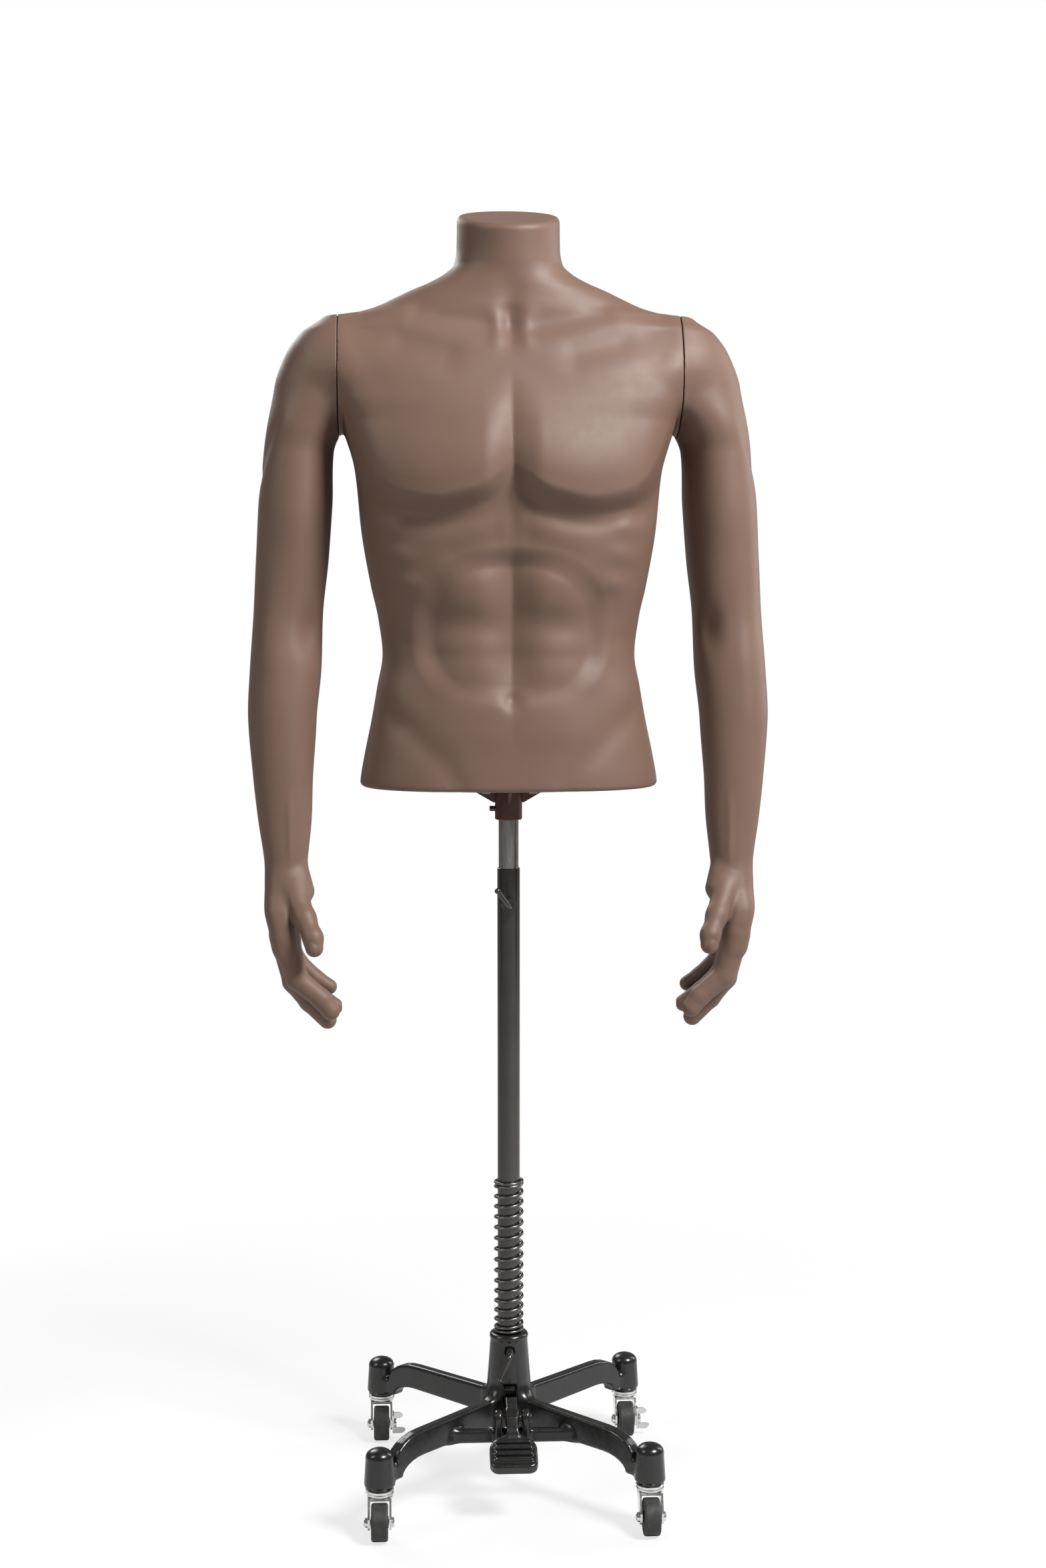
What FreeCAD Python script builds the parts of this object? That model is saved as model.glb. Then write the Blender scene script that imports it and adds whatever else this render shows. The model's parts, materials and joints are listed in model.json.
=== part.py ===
# A headless male display mannequin on an adjustable stand with a foot pedal.
#
# Millimetres, +Z up. The origin is on the floor under the pole, the torso faces -Y, and the
# mannequin's own left arm is at +X. Every size is a named cell of the sheet below, and each piece
# is an object of its own, whose label names its file.

import FreeCAD, Part
import math
import os
import re

import Sketcher
from FreeCAD import Placement, Rotation, Vector

CORNERS = {"front_left": (1, -1), "front_right": (-1, -1), "rear_left": (1, 1), "rear_right": (-1, 1)}
BRAKED = ("rear_left", "rear_right")
SIDES = {"left": 1, "right": -1}
FAR = 400  # further out than any part of the mannequin

# Places that follow from the sizes in the sheet, written the way expressions write them.
PLACES = {
    "shoulder_z": "(hem_z + shoulder_level * torso_height)",
    "nose_y": "(tube_radius + shoe_gap + shoe_length + nose_gap)",
    "spring_radius": "(tube_radius + spring_gap + spring_wire / 2)",
    "boss_low_z": "(fork_top_z + race_height + stem_shoulder)",
    "fork_top_z": "(2 * wheel_radius + fork_clearance + fork_plate)",
}

UPRIGHT = Rotation()
Z_TO_MINUS_Y = Rotation(Vector(1, 0, 0), 90)
Z_TO_X = Rotation(Vector(0, 1, 0), 90)
Z_TO_MINUS_X = Rotation(Vector(0, 1, 0), -90)

SIZES = {
    "base casting": [
        ("caster_spread", 145, "pole axis to a caster's axis, along X and along Y"),
        ("hub_top_z", 172, "top face of the hub"),
        ("hub_top_radius", 21, "hub at its top"),
        ("hub_foot_z", 108, "where the hub stops tapering"),
        ("hub_foot_radius", 25, "hub at its foot"),
        ("hub_rim", 2, "bevel round the hub's top"),
        ("leg_width", 16, "leg across"),
        ("leg_under_z", 72, "underside of the legs and the hub"),
        ("leg_top_z", 102, "ridge of the legs"),
        ("bend_start", 61, "boss axis to where a leg bends down"),
        ("bend_under_end", 28, "boss axis to where the underside meets the boss"),
        ("bend_top_end", 18, "boss axis to where the ridge meets the boss"),
        ("bend_top_low_z", 74, "ridge where it meets the boss"),
        ("boss_low_radius", 16.75, "boss at its underside"),
        ("boss_top_z", 86, "where the boss's dome starts"),
        ("boss_top_radius", 14.75, "boss under its dome"),
        ("dome_height", 9, "dome over the boss"),
        ("bar_y", 72, "cross bar and pedal pivot, ahead of the pole"),
        ("bar_thickness", 8, "cross bar front to back"),
        ("bar_top_z", 86, "cross bar's top edge"),
        ("lug_gap", 22, "between the two pedal lugs"),
        ("lug_thickness", 8, "one pedal lug"),
        ("lug_radius", 9, "rounded end of a lug"),
    ],
    "pedal": [
        ("pivot_z", 98, "pedal pin's axis"),
        ("pin_radius", 3, "pedal pin"),
        ("pin_clearance", 0.05, "radial, pedal on its pin"),
        ("pin_head_radius", 5, "pedal pin's head"),
        ("pin_head", 2.5, "thickness of the pin's head"),
        ("pedal_boss_radius", 10, "pedal round its pin"),
        ("pedal_arm_width", 12, "pedal arm across"),
        ("nose_gap", 1.3, "tip of the pedal's nose to the brake shoe"),
        ("nose_height", 8.5, "pedal nose, top to bottom"),
        ("tread_width", 52, "tread across"),
        ("tread_back_y", 92, "back edge of the tread's top"),
        ("tread_back_z", 86, "height of that edge"),
        ("tread_length", 47, "tread along its slope"),
        ("tread_slope", 24, "tread, degrees below level"),
        ("tread_thickness", 12, "tread plate"),
        ("tread_corner", 7, "rounded corners of the tread"),
        ("rib_count", 4, "ribs across the tread"),
        ("rib_width", 4, "one rib"),
        ("rib_pitch", 9, "rib to rib"),
        ("rib_height", 2.2, "rib above the tread"),
        ("rib_margin", 5, "tread left plain at each end of a rib"),
        ("slot_width", 13, "slot in the hub for the nose and the brake shoe"),
        ("slot_low_z", 94, "bottom of that slot"),
        ("slot_high_z", 118, "top of that slot"),
        ("shoe_width", 12, "brake shoe across"),
        ("shoe_length", 8, "brake shoe front to back"),
        ("shoe_low_z", 95, "brake shoe's underside"),
        ("shoe_high_z", 116, "brake shoe's top"),
        ("shoe_gap", 0.2, "brake shoe to pole"),
        ("return_wire", 1.0, "wire of the pedal's return spring"),
        ("return_radius", 4.4, "mean radius of the return spring"),
        ("return_turns", 2, "turns of the return spring"),
        ("return_gap", 0.37, "return spring to the pedal's boss"),
        ("pedal_boss_extra", 1, "pedal's boss proud of its arm, each side"),
    ],
    "pole": [
        ("tube_radius", 12.5, "outside of the pole tube"),
        ("tube_top_z", 699, "top of the pole tube"),
        ("rod_radius", 11, "upper rod"),
        ("slide_clearance", 0.05, "radial, rod in tube, tube in bush and collar on rod"),
        ("rod_low_z", 287, "lower end of the upper rod"),
        ("rod_chamfer", 1, "bevel on the rod's ends"),
        ("plug_length", 18, "glide plug under the rod"),
        ("bush_wall", 2, "guide bush wall"),
        ("bush_low_z", 121, "guide bush's lower end"),
        ("bush_high_z", 145, "guide bush's upper end"),
        ("hub_clearance", 0.4, "radial, pole in the hub's throat"),
        ("stop_gap", 0.3, "stop cap under the hub"),
        ("stop_flange", 3.5, "thickness of the stop cap's flange"),
        ("stop_overhang", 4, "stop cap's flange outside the tube"),
        ("stop_plug", 12, "stop cap inside the tube"),
        ("spring_wire", 3.5, "wire of the riser spring"),
        ("spring_gap", 0.75, "riser spring's wire to the pole tube"),
        ("spring_top_z", 348, "top of the riser spring"),
        ("spring_turns", 16, "turns of the riser spring"),
    ],
    "locking screws": [
        ("pole_lock_z", 659, "upper locking screw's axis"),
        ("base_lock_z", 156, "lower locking screw's axis"),
        ("screw_radius", 4, "thread of the locking screws"),
        ("screw_clearance", 0.08, "radial, locking screws in their holes"),
        ("screw_gap", 0.15, "locking screw's tip to what it clamps"),
        ("handle_radius", 2.5, "bent handle"),
        ("handle_bend", 6, "centreline radius of the handle's bend"),
        ("pole_screw_length", 13, "upper screw's thread"),
        ("pole_handle", 17, "straight part of the upper handle"),
        ("base_screw_length", 16, "lower screw's thread"),
        ("base_handle", 25, "straight part of the lower handle"),
        ("knob_radius", 3.3, "upset end of a handle"),
        ("nut_radius", 9.5, "hexagon nut, centre to corner"),
        ("nut_height", 8, "hexagon nut outside the tube"),
    ],
    "post flange": [
        ("collar_low_z", 753, "lower end of the collar"),
        ("collar_radius", 15, "collar"),
        ("flange_radius", 45, "flange plate"),
        ("flange_thickness", 4, "flange plate"),
        ("gusset_radius", 41, "reach of a gusset"),
        ("gusset_drop", 16, "gusset below the plate"),
        ("gusset_thickness", 4, "gusset"),
        ("rod_seat_gap", 0.3, "rod's top to the collar's floor"),
        ("set_screw_z", 765, "set screw's axis"),
        ("set_screw_radius", 3, "set screw"),
        ("set_screw_reach", 21, "set screw's outer end, from the pole axis"),
        ("bolt_circle", 35, "radius of the flange bolt circle"),
        ("bolt_radius", 3, "flange bolts"),
        ("bolt_clearance", 0.2, "radial, flange bolts in their holes"),
        ("bolt_head_radius", 5.5, "bolt heads"),
        ("bolt_head", 4, "bolt head thickness"),
        ("nut_corner", 5.8, "bolt nuts, centre to corner"),
        ("nut_thickness", 5, "bolt nuts"),
        ("board_length", 220, "base board across"),
        ("board_depth", 130, "base board front to back"),
        ("board_thickness", 12, "base board"),
        ("board_corner", 20, "base board's corners"),
    ],
    "torso": [
        ("hem_z", 792, "underside of the torso"),
        ("torso_height", 629, "underside of the torso to the back of the neck's cap"),
        ("skin", 3, "wall of the mouldings"),
        ("face_wall", 8, "wall behind a shoulder face"),
        ("cap_tilt", 15, "neck cap, degrees below level towards the front"),
        ("cap_back", 46, "pole axis back to where the neck cap is highest"),
        ("seam_x", 183.4, "shoulder face of the torso"),
        ("seam_gap", 1.0, "between torso and arm"),
    ],
    "arm": [
        ("shoulder_level", 0.717011, "axis of the shoulder fittings, as a share of the torso's height"),
        ("shoulder_y", 4, "axis of the shoulder fittings"),
        ("arm_top_level", 0.801272, "top of the arm, as a share of the torso's height"),
        ("arm_length", 686, "top of the arm to the knuckles"),
    ],
    "shoulder fittings": [
        ("plate_radius", 32, "socket plate and arm plate"),
        ("plate_thickness", 2.5, "socket plate and arm plate"),
        ("recess_clearance", 0.3, "plates in their recesses"),
        ("barrel_radius", 21.7, "outside of the socket's barrel"),
        ("barrel_length", 28, "socket's barrel behind the face"),
        ("cup_radius", 17, "turning cup"),
        ("cup_clearance", 0.06, "radial, turning cup in its socket"),
        ("cup_flange", 3, "cup's retaining flange"),
        ("cup_flange_radius", 20.5, "cup's retaining flange"),
        ("spigot_side", 18, "square spigot"),
        ("spigot_length", 17, "spigot beyond the arm's face"),
        ("spigot_clearance", 0.06, "each side, spigot in the cup"),
        ("fitting_screw_circle", 26.5, "radius of the plates' screw circle"),
        ("fitting_screw_radius", 1.9, "plate screws"),
        ("fitting_screw_length", 8, "plate screws under the head"),
        ("fitting_head_radius", 3.5, "heads of the plate screws"),
        ("fitting_head", 1.4, "thickness of those heads"),
    ],
    "casters": [
        ("wheel_radius", 20, "caster wheel"),
        ("wheel_width", 18, "caster wheel"),
        ("wheel_edge", 2.5, "rounding of the tread's edges"),
        ("trail", 17, "axle behind the swivel axis"),
        ("wheel_gap", 1.4, "wheel to fork, each side"),
        ("fork_plate", 2.2, "fork's sheet metal"),
        ("fork_clearance", 2.3, "top of the wheel to the fork's bridge"),
        ("stem_shoulder", 2.5, "stem between the swivel race and the boss"),
        ("race_radius", 15, "swivel race"),
        ("race_height", 7, "swivel race above the bridge"),
        ("axle_radius", 3, "axle bolt"),
        ("axle_clearance", 0.06, "radial, wheel on its axle"),
        ("axle_head_radius", 5.2, "axle bolt's head and nut"),
        ("axle_head", 3, "axle bolt's head and nut"),
        ("axle_end_radius", 8, "fork round the axle"),
        ("stem_radius", 5, "caster stem in the boss"),
        ("stem_depth", 30, "stem inside the boss"),
        ("kingpin_radius", 3.6, "stem's lower pin, in the fork"),
        ("kingpin_clearance", 0.06, "radial, fork on its pin"),
        ("brake_plate", 1.5, "brake lever's sheet metal"),
        ("brake_gap", 0.3, "brake lever to fork"),
        ("brake_width", 11, "brake lever's plate"),
        ("brake_reach", 15, "a brake wing beyond its plate"),
        ("wing_width", 11, "a brake wing"),
        ("wing_tilt", 50, "a brake wing, degrees off level"),
    ],
}

# The outlines of the moulded body, from the hem up and from the shoulder down. A level is a share
# of the moulding's height; the sizes are half widths and the reach to the front and to the back.
TORSO_OUTLINES = [
    ("hem", 0.0, 163, 103, 112, 2.5),
    ("belly", 0.113, 150.5, 101, 98, 2.4),
    ("waist", 0.229, 138, 96, 86, 2.35),
    ("ribs", 0.345, 150, 105, 92, 2.4),
    ("breast", 0.437, 160, 115, 102, 2.45),
    ("chest", 0.545, 167, 119, 109, 2.5),
    ("armpit", 0.623, 186, 112, 112, 2.5),
    ("deltoid", 0.712, 204, 92, 102, 2.4),
    ("shoulder", 0.785, 196, 68, 80, 2.3),
    ("yoke", 0.809, 177, 62, 74, 2.25),
    ("trapezius", 0.8235, 144, 60, 70, 2.2),
    ("nape", 0.8505, 106, 58, 66, 2.1),
    ("throat", 0.8776, 70, 58, 62, 2.0),
    ("neck", 0.9, 57, 61, 57, 2.0),
    ("collar", 0.93, 55.5, 64, 54, 2.0),
    ("high_neck", 0.975, 55.5, 68, 50, 2.0),
    ("crown", 1.02, 55.5, 72, 46, 2.0),
]
ARM_OUTLINES = [
    ("top", 0.0, 160, 203, 38, 46, 2.2),
    ("dome", 0.02, 140, 226, 54, 61, 2.2),
    ("cap", 0.055, 128, 242, 61, 68, 2.2),
    ("swell", 0.105, 122, 254, 62, 69, 2.2),
    ("fold", 0.163, 168, 262, 57, 64, 2.2),
    ("high", 0.205, 189.5, 265.5, 50, 58, 2.2),
    ("biceps", 0.29, 191.5, 272.5, 49, 53, 2.2),
    ("lower", 0.376, 196, 275.5, 45, 49, 2.2),
    ("elbow", 0.46, 202.5, 278, 43, 45, 2.2),
    ("forearm", 0.547, 204.5, 282, 53, 35, 2.2),
    ("belly", 0.631, 210, 284, 57, 26, 2.2),
    ("taper", 0.717, 214, 279, 57, 12, 2.2),
    ("shaft", 0.783, 215.5, 274, 57, 2, 2.2),
    ("wrist", 0.847, 220, 267.5, 58, -4, 2.2),
    ("heel", 0.89, 226, 267.5, 66, 2, 2.6),
    ("palm", 0.934, 236, 268.5, 77, 4, 2.8),
    ("knuckle", 1.0, 248, 267, 77, 2, 2.8),
]
FINGERS = {
    "index": (-67, (258, 613), (246, 562), (203, 532), 9.0),
    "middle": (-47, (258, 612), (247, 558), (206, 524), 9.0),
    "ring": (-27, (257, 614), (243, 566), (192, 546), 8.6),
    "little": (-8, (256, 620), (241, 580), (194, 562), 7.8),
}
FINGER_TAPER = (1.0, 0.97, 0.9)
KNUCKLE_Z = 610
TIP_STEPS = ((0.55, 0.84), (0.9, 0.45))
THUMB = [((240, -52, 690), 15), ((229, -78, 658), 12.5), ((225, -92, 626), 10.8), ((225, -96, 608), 10.0)]

doc = FreeCAD.newDocument("mannequin")
sheet = doc.addObject("Spreadsheet::Sheet", "Sizes")
nodes = []


# ---- the sheet, and expressions on it ----

def fill_sheet():
    row = 1
    for heading, entries in SIZES.items():
        sheet.set(f"A{row}", heading)
        row += 1
        for alias, number, note in entries:
            sheet.set(f"A{row}", note)
            sheet.set(f"B{row}", str(number))
            sheet.setAlias(f"B{row}", alias)
            row += 1
    doc.recompute()


ALIASES = {alias for entries in SIZES.values() for alias, number, note in entries}


def on_sheet(text):
    """The expression, with named places spelled out and every named size looked up in the sheet."""
    text = str(text)
    for place, rule in PLACES.items():
        text = re.sub(rf"\b{place}\b", rule, text)
    return re.sub(r"[a-z][a-z_]*", lambda word: "Sizes." * (word[0] in ALIASES) + word[0], text)


def size(alias):
    return float(sheet.get(alias))


def bind(thing, **properties):
    for name, text in properties.items():
        thing.setExpression(name, on_sheet(text))


def locate(thing, at, turn=UPRIGHT, field="Placement"):
    """Put a thing at three expressions, turned as given."""
    setattr(thing, field, Placement(Vector(), turn))
    for axis, text in zip("xyz", at):
        thing.setExpression(f"{field}.Base.{axis}", on_sheet(text))


# ---- PartDesign bodies ----

def new_body(label):
    piece = doc.addObject("PartDesign::Body", label)
    piece.Label = label
    nodes.append(piece)
    return piece


def origin_part(piece, role):
    return next(part for part in piece.Origin.OriginFeatures if part.Role == role)


def new_sketch(piece, plane, shift="0", turn=UPRIGHT):
    """A sketch on one of the body's own planes, moved along the plane's normal."""
    sketch = piece.newObject("Sketcher::SketchObject", f"{piece.Name}_sketch")
    sketch.AttachmentSupport = [(origin_part(piece, plane), "")]
    sketch.MapMode = "FlatFace"
    locate(sketch, ("0", "0", shift), turn, "AttachmentOffset")
    return sketch


def dimension(sketch, kind, item, point, text):
    """Hold a point's distance from the sketch's origin, or a circle's radius, at an expression."""
    if kind == "Radius":
        index = sketch.addConstraint(Sketcher.Constraint(kind, item, 1.0))
    else:
        index = sketch.addConstraint(Sketcher.Constraint(kind, -1, 1, item, point, 1.0))
    sketch.setExpression(f"Constraints[{index}]", on_sheet(text))


def outline(sketch, corners):
    """A closed outline through corners given as pairs of expressions."""
    first = sketch.GeometryCount
    count = len(corners)
    angles = [2 * math.pi * k / count for k in range(count + 1)]
    rough = [Vector(50 * math.cos(angle), 50 * math.sin(angle), 0) for angle in angles]
    for k in range(count):
        sketch.addGeometry(Part.LineSegment(rough[k], rough[k + 1]))
    for k in range(count):
        following = first + (k + 1) % count
        sketch.addConstraint(Sketcher.Constraint("Coincident", first + k, 2, following, 1))
    for k, (across, along) in enumerate(corners):
        dimension(sketch, "DistanceX", first + k, 1, across)
        dimension(sketch, "DistanceY", first + k, 1, along)


def rectangle(sketch, low_x, high_x, low_y, high_y):
    outline(sketch, [(low_x, low_y), (high_x, low_y), (high_x, high_y), (low_x, high_y)])


def circle(sketch, across, along, radius):
    item = sketch.addGeometry(Part.Circle(Vector(), Vector(0, 0, 1), 1.0))
    dimension(sketch, "Radius", item, 3, radius)
    dimension(sketch, "DistanceX", item, 3, across)
    dimension(sketch, "DistanceY", item, 3, along)


def pad(piece, sketch, length):
    """Material either side of the sketch, so no direction can be wrong."""
    feature = piece.newObject("PartDesign::Pad", f"{piece.Name}_pad")
    feature.Profile = sketch
    feature.SideType = "Symmetric"
    bind(feature, Length=length)
    return feature


def pocket(piece, sketch, length):
    """A cut either side of the sketch, which has to take material away."""
    doc.recompute()
    before = piece.Shape.Volume
    feature = piece.newObject("PartDesign::Pocket", f"{piece.Name}_pocket")
    feature.Profile = sketch
    feature.SideType = "Symmetric"
    bind(feature, Length=length)
    doc.recompute()
    if piece.Shape.Volume >= before:
        raise ValueError(f"a pocket in {piece.Label} removes nothing")
    return feature


def revolve(piece, sketch):
    feature = piece.newObject("PartDesign::Revolution", f"{piece.Name}_turn")
    feature.Profile = sketch
    feature.ReferenceAxis = (sketch, ["V_Axis"])
    feature.Angle = 360
    return feature


def around(piece, features, count):
    """Repeat features round the body's Z axis."""
    pattern = piece.newObject("PartDesign::PolarPattern", f"{piece.Name}_around")
    pattern.Originals = features
    pattern.Axis = (origin_part(piece, "Z_Axis"), [""])
    pattern.Angle = 360
    pattern.Occurrences = count
    piece.Tip = pattern
    return pattern


def fillet(piece, radius, chosen):
    """Round the edges of the body for which chosen(edge) is true."""
    doc.recompute()
    tip = piece.Tip
    names = [f"Edge{k + 1}" for k, edge in enumerate(tip.Shape.Edges) if chosen(edge)]
    feature = piece.newObject("PartDesign::Fillet", f"{piece.Name}_fillet")
    feature.Base = (tip, names)
    bind(feature, Radius=radius)
    piece.Tip = feature
    return feature


def turned(label, corners, at=("0", "0", "0"), turn=UPRIGHT):
    """A body of revolution about its own Z; corners are (radius, height) expressions."""
    piece = new_body(label)
    sketch = new_sketch(piece, "XZ_Plane")
    outline(sketch, corners)
    revolve(piece, sketch)
    locate(piece, at, turn)
    return piece


def polar_holes(piece, circle_radius, radius, middle, depth, count, start=0.0):
    """A ring of round holes along the body's Z, each centred on the height named middle."""
    sketch = new_sketch(piece, "XY_Plane", middle)
    across = f"{circle_radius} * {math.cos(math.radians(start)):.6f}"
    along = f"{circle_radius} * {math.sin(math.radians(start)):.6f}"
    circle(sketch, across, along, radius)
    feature = pocket(piece, sketch, depth)
    return around(piece, [feature], count)


# ---- Part primitives ----

def primitive(kind, name, at=("0", "0", "0"), turn=UPRIGHT, **sizes):
    solid = doc.addObject(f"Part::{kind}", name)
    bind(solid, **sizes)
    locate(solid, at, turn)
    return solid


def combine(kind, label, first, second):
    """A Part::Cut of two objects, or a Part::MultiFuse or Part::Compound of a list."""
    result = doc.addObject(f"Part::{kind}", label)
    if kind == "Cut":
        result.Base, result.Tool = first, second
    elif kind == "MultiFuse":
        result.Shapes = first
    else:
        result.Links = first
    return result


def node(thing, label):
    thing.Label = label
    nodes.append(thing)
    return thing


def shaped(name, shape):
    """An object whose shape comes from Part's own functions."""
    thing = doc.addObject("Part::Feature", name)
    thing.Shape = shape
    return thing


def ring_spots(circle_radius, count, start):
    """Expressions for the places round a circle, about Z."""
    angles = [math.radians(start + 360 * k / count) for k in range(count)]
    return [(f"{circle_radius} * {math.cos(a):.6f}", f"{circle_radius} * {math.sin(a):.6f}") for a in angles]


# ---- base ----

def leg_outline():
    """Side of a leg from the pole axis out to its boss: level, then a quarter ellipse down."""
    reach = "caster_spread * sqrt(2)"
    steps = [k / 4 for k in range(5)]
    corners = [("0", "leg_under_z")]
    for step in steps:
        sine, drop = math.sin(step * math.pi / 2), 1 - math.cos(step * math.pi / 2)
        out = f"{reach} - bend_start + (bend_start - bend_under_end) * {sine:.5f}"
        corners.append((out, f"leg_under_z - (leg_under_z - boss_low_z) * {drop:.5f}"))
    corners += [(reach, "boss_low_z"), (reach, "bend_top_low_z")]
    for step in reversed(steps):
        sine, drop = math.sin(step * math.pi / 2), 1 - math.cos(step * math.pi / 2)
        out = f"{reach} - bend_start + (bend_start - bend_top_end) * {sine:.5f}"
        corners.append((out, f"leg_top_z - 3 - (leg_top_z - 3 - bend_top_low_z) * {drop:.5f}"))
    corners.append(("0", "leg_top_z"))
    return corners


def make_base_casting():
    piece = new_body("base_casting")
    hub = new_sketch(piece, "XZ_Plane")
    outline(hub, [("0", "leg_under_z"), ("hub_foot_radius + 2", "leg_under_z"),
                  ("hub_foot_radius", "hub_foot_z"), ("hub_top_radius", "hub_top_z - hub_rim"),
                  ("hub_top_radius - hub_rim", "hub_top_z"), ("0", "hub_top_z")])
    revolve(piece, hub)
    diagonal = Rotation(Vector(0, 1, 0), 45)
    leg_sketch = new_sketch(piece, "XZ_Plane", turn=diagonal)
    outline(leg_sketch, leg_outline())
    leg = pad(piece, leg_sketch, "leg_width")
    leg_pattern = around(piece, [leg], 4)
    boss_sketch = new_sketch(piece, "XZ_Plane")
    locate(boss_sketch, ("caster_spread", "0", "caster_spread"), UPRIGHT, "AttachmentOffset")
    outline(boss_sketch, boss_outline())
    boss = revolve(piece, boss_sketch)
    around(piece, [boss], 4)
    bar = new_sketch(piece, "XZ_Plane", "bar_y")
    rectangle(bar, "-bar_y", "bar_y", "leg_under_z", "bar_top_z")
    pad(piece, bar, "bar_thickness")
    for side in (1, -1):
        lug = new_sketch(piece, "YZ_Plane", f"{side} * (lug_gap + lug_thickness) / 2")
        rectangle(lug, "-bar_y - lug_radius", "-bar_y + lug_radius", "leg_under_z", "pivot_z")
        pad(piece, lug, "lug_thickness")
        ear = new_sketch(piece, "YZ_Plane", f"{side} * (lug_gap + lug_thickness) / 2")
        circle(ear, "-bar_y", "pivot_z", "lug_radius")
        pad(piece, ear, "lug_thickness")
    throat = new_sketch(piece, "XY_Plane", "hub_top_z")
    circle(throat, "0", "0", "tube_radius + hub_clearance")
    pocket(piece, throat, "2 * (hub_top_z - leg_under_z + 5)")
    bush_bore = new_sketch(piece, "XY_Plane", "leg_under_z")
    circle(bush_bore, "0", "0", "tube_radius + bush_wall")
    pocket(piece, bush_bore, "2 * (bush_high_z - leg_under_z)")
    slot = new_sketch(piece, "YZ_Plane")
    rectangle(slot, "-hub_foot_radius - 8", "-tube_radius", "slot_low_z", "slot_high_z")
    pocket(piece, slot, "slot_width")
    lock = new_sketch(piece, "XZ_Plane", "hub_foot_radius")
    circle(lock, "0", "base_lock_z", "screw_radius + screw_clearance")
    pocket(piece, lock, "2 * (hub_foot_radius - tube_radius)")
    pin = new_sketch(piece, "YZ_Plane")
    circle(pin, "-bar_y", "pivot_z", "pin_radius")
    pocket(piece, pin, "lug_gap + 2 * lug_thickness + 2")
    stem = new_sketch(piece, "XY_Plane", "boss_low_z")
    for across, along in CORNERS.values():
        circle(stem, f"{across} * caster_spread", f"{along} * caster_spread", "stem_radius")
    pocket(piece, stem, "2 * (stem_depth + 1)")


def boss_outline():
    """Half of a boss about its own axis: tapered side, then a quarter ellipse for the dome."""
    corners = [("0", "boss_low_z"), ("boss_low_radius", "boss_low_z")]
    for k in range(5):
        angle = k * math.pi / 8
        rise = f"boss_top_z + dome_height * {math.sin(angle):.5f}"
        corners.append((f"boss_top_radius * {max(math.cos(angle), 0):.5f}", rise))
    return corners


def make_hub_bush():
    inner, outer = "tube_radius + slide_clearance", "tube_radius + bush_wall"
    turned("hub_bush", [(inner, "bush_low_z"), (outer, "bush_low_z"), (outer, "bush_high_z"),
                        (inner, "bush_high_z")])


def make_pedal_pin():
    half = "(lug_gap / 2 + lug_thickness)"
    turned("pedal_pin", [("0", f"-{half} - 1"), ("pin_radius - 0.5", f"-{half} - 1"),
                         ("pin_radius", f"-{half} - 0.5"), ("pin_radius", half),
                         ("pin_head_radius", half), ("pin_head_radius", f"{half} + pin_head - 1"),
                         ("pin_head_radius - 1", f"{half} + pin_head"), ("0", f"{half} + pin_head")],
           at=("0", "-bar_y", "pivot_z"), turn=Z_TO_X)


def on_tread(along, above):
    """A place in the pedal's side view, measured down the tread's slope and square to it."""
    across = f"-tread_back_y - ({along}) * cos(tread_slope * 1deg) - ({above}) * sin(tread_slope * 1deg)"
    up = f"tread_back_z - ({along}) * sin(tread_slope * 1deg) + ({above}) * cos(tread_slope * 1deg)"
    return across, up


def make_foot_pedal():
    piece = new_body("foot_pedal")
    top = "pivot_z + pedal_boss_radius"
    arm = new_sketch(piece, "YZ_Plane")
    outline(arm, [("-nose_y", f"{top} - nose_height - 1"), ("-nose_y", f"{top} - 1"), ("-bar_y", top),
                  on_tread("2", "0"), on_tread("6", "-tread_thickness"),
                  ("-bar_y - pedal_boss_radius", "pivot_z"), ("-bar_y", "pivot_z - pedal_boss_radius"),
                  ("-bar_y + pedal_boss_radius + 4", f"{top} - nose_height - 4")])
    pad(piece, arm, "pedal_arm_width")
    boss = new_sketch(piece, "YZ_Plane")
    circle(boss, "-bar_y", "pivot_z", "pedal_boss_radius")
    pad(piece, boss, "pedal_arm_width + 2 * pedal_boss_extra")
    tread = new_sketch(piece, "YZ_Plane")
    outline(tread, [on_tread("0", "0"), on_tread("tread_length", "0"),
                    on_tread("tread_length", "-tread_thickness"), on_tread("0", "-tread_thickness")])
    pad(piece, tread, "tread_width")
    half = size("tread_width") / 2
    fillet(piece, "tread_corner", lambda edge: is_tread_corner(edge, half))
    ribs = new_sketch(piece, "YZ_Plane")
    for k in range(int(size("rib_count"))):
        start = f"(tread_length - (rib_count - 1) * rib_pitch - rib_width) / 2 + {k} * rib_pitch"
        end = f"{start} + rib_width"
        outline(ribs, [on_tread(start, "-1"), on_tread(end, "-1"), on_tread(f"{end} - 0.8", "rib_height"),
                       on_tread(f"{start} + 0.8", "rib_height")])
    pad(piece, ribs, "tread_width - 2 * rib_margin")
    pin = new_sketch(piece, "YZ_Plane")
    circle(pin, "-bar_y", "pivot_z", "pin_radius + pin_clearance")
    pocket(piece, pin, "2 * pedal_arm_width")


def is_tread_corner(edge, half):
    """The tread's four corners run square to its top, out at its sides."""
    ends = [vertex.Point for vertex in edge.Vertexes]
    at_side = all(abs(abs(point.x) - half) < 0.01 for point in ends)
    return at_side and abs(edge.Length - size("tread_thickness")) < 0.01


def make_brake_shoe():
    piece = new_body("brake_shoe")
    sketch = new_sketch(piece, "YZ_Plane")
    inner = "-tube_radius - shoe_gap"
    rectangle(sketch, f"{inner} - shoe_length", inner, "shoe_low_z", "shoe_high_z")
    pad(piece, sketch, "shoe_width")


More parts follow.
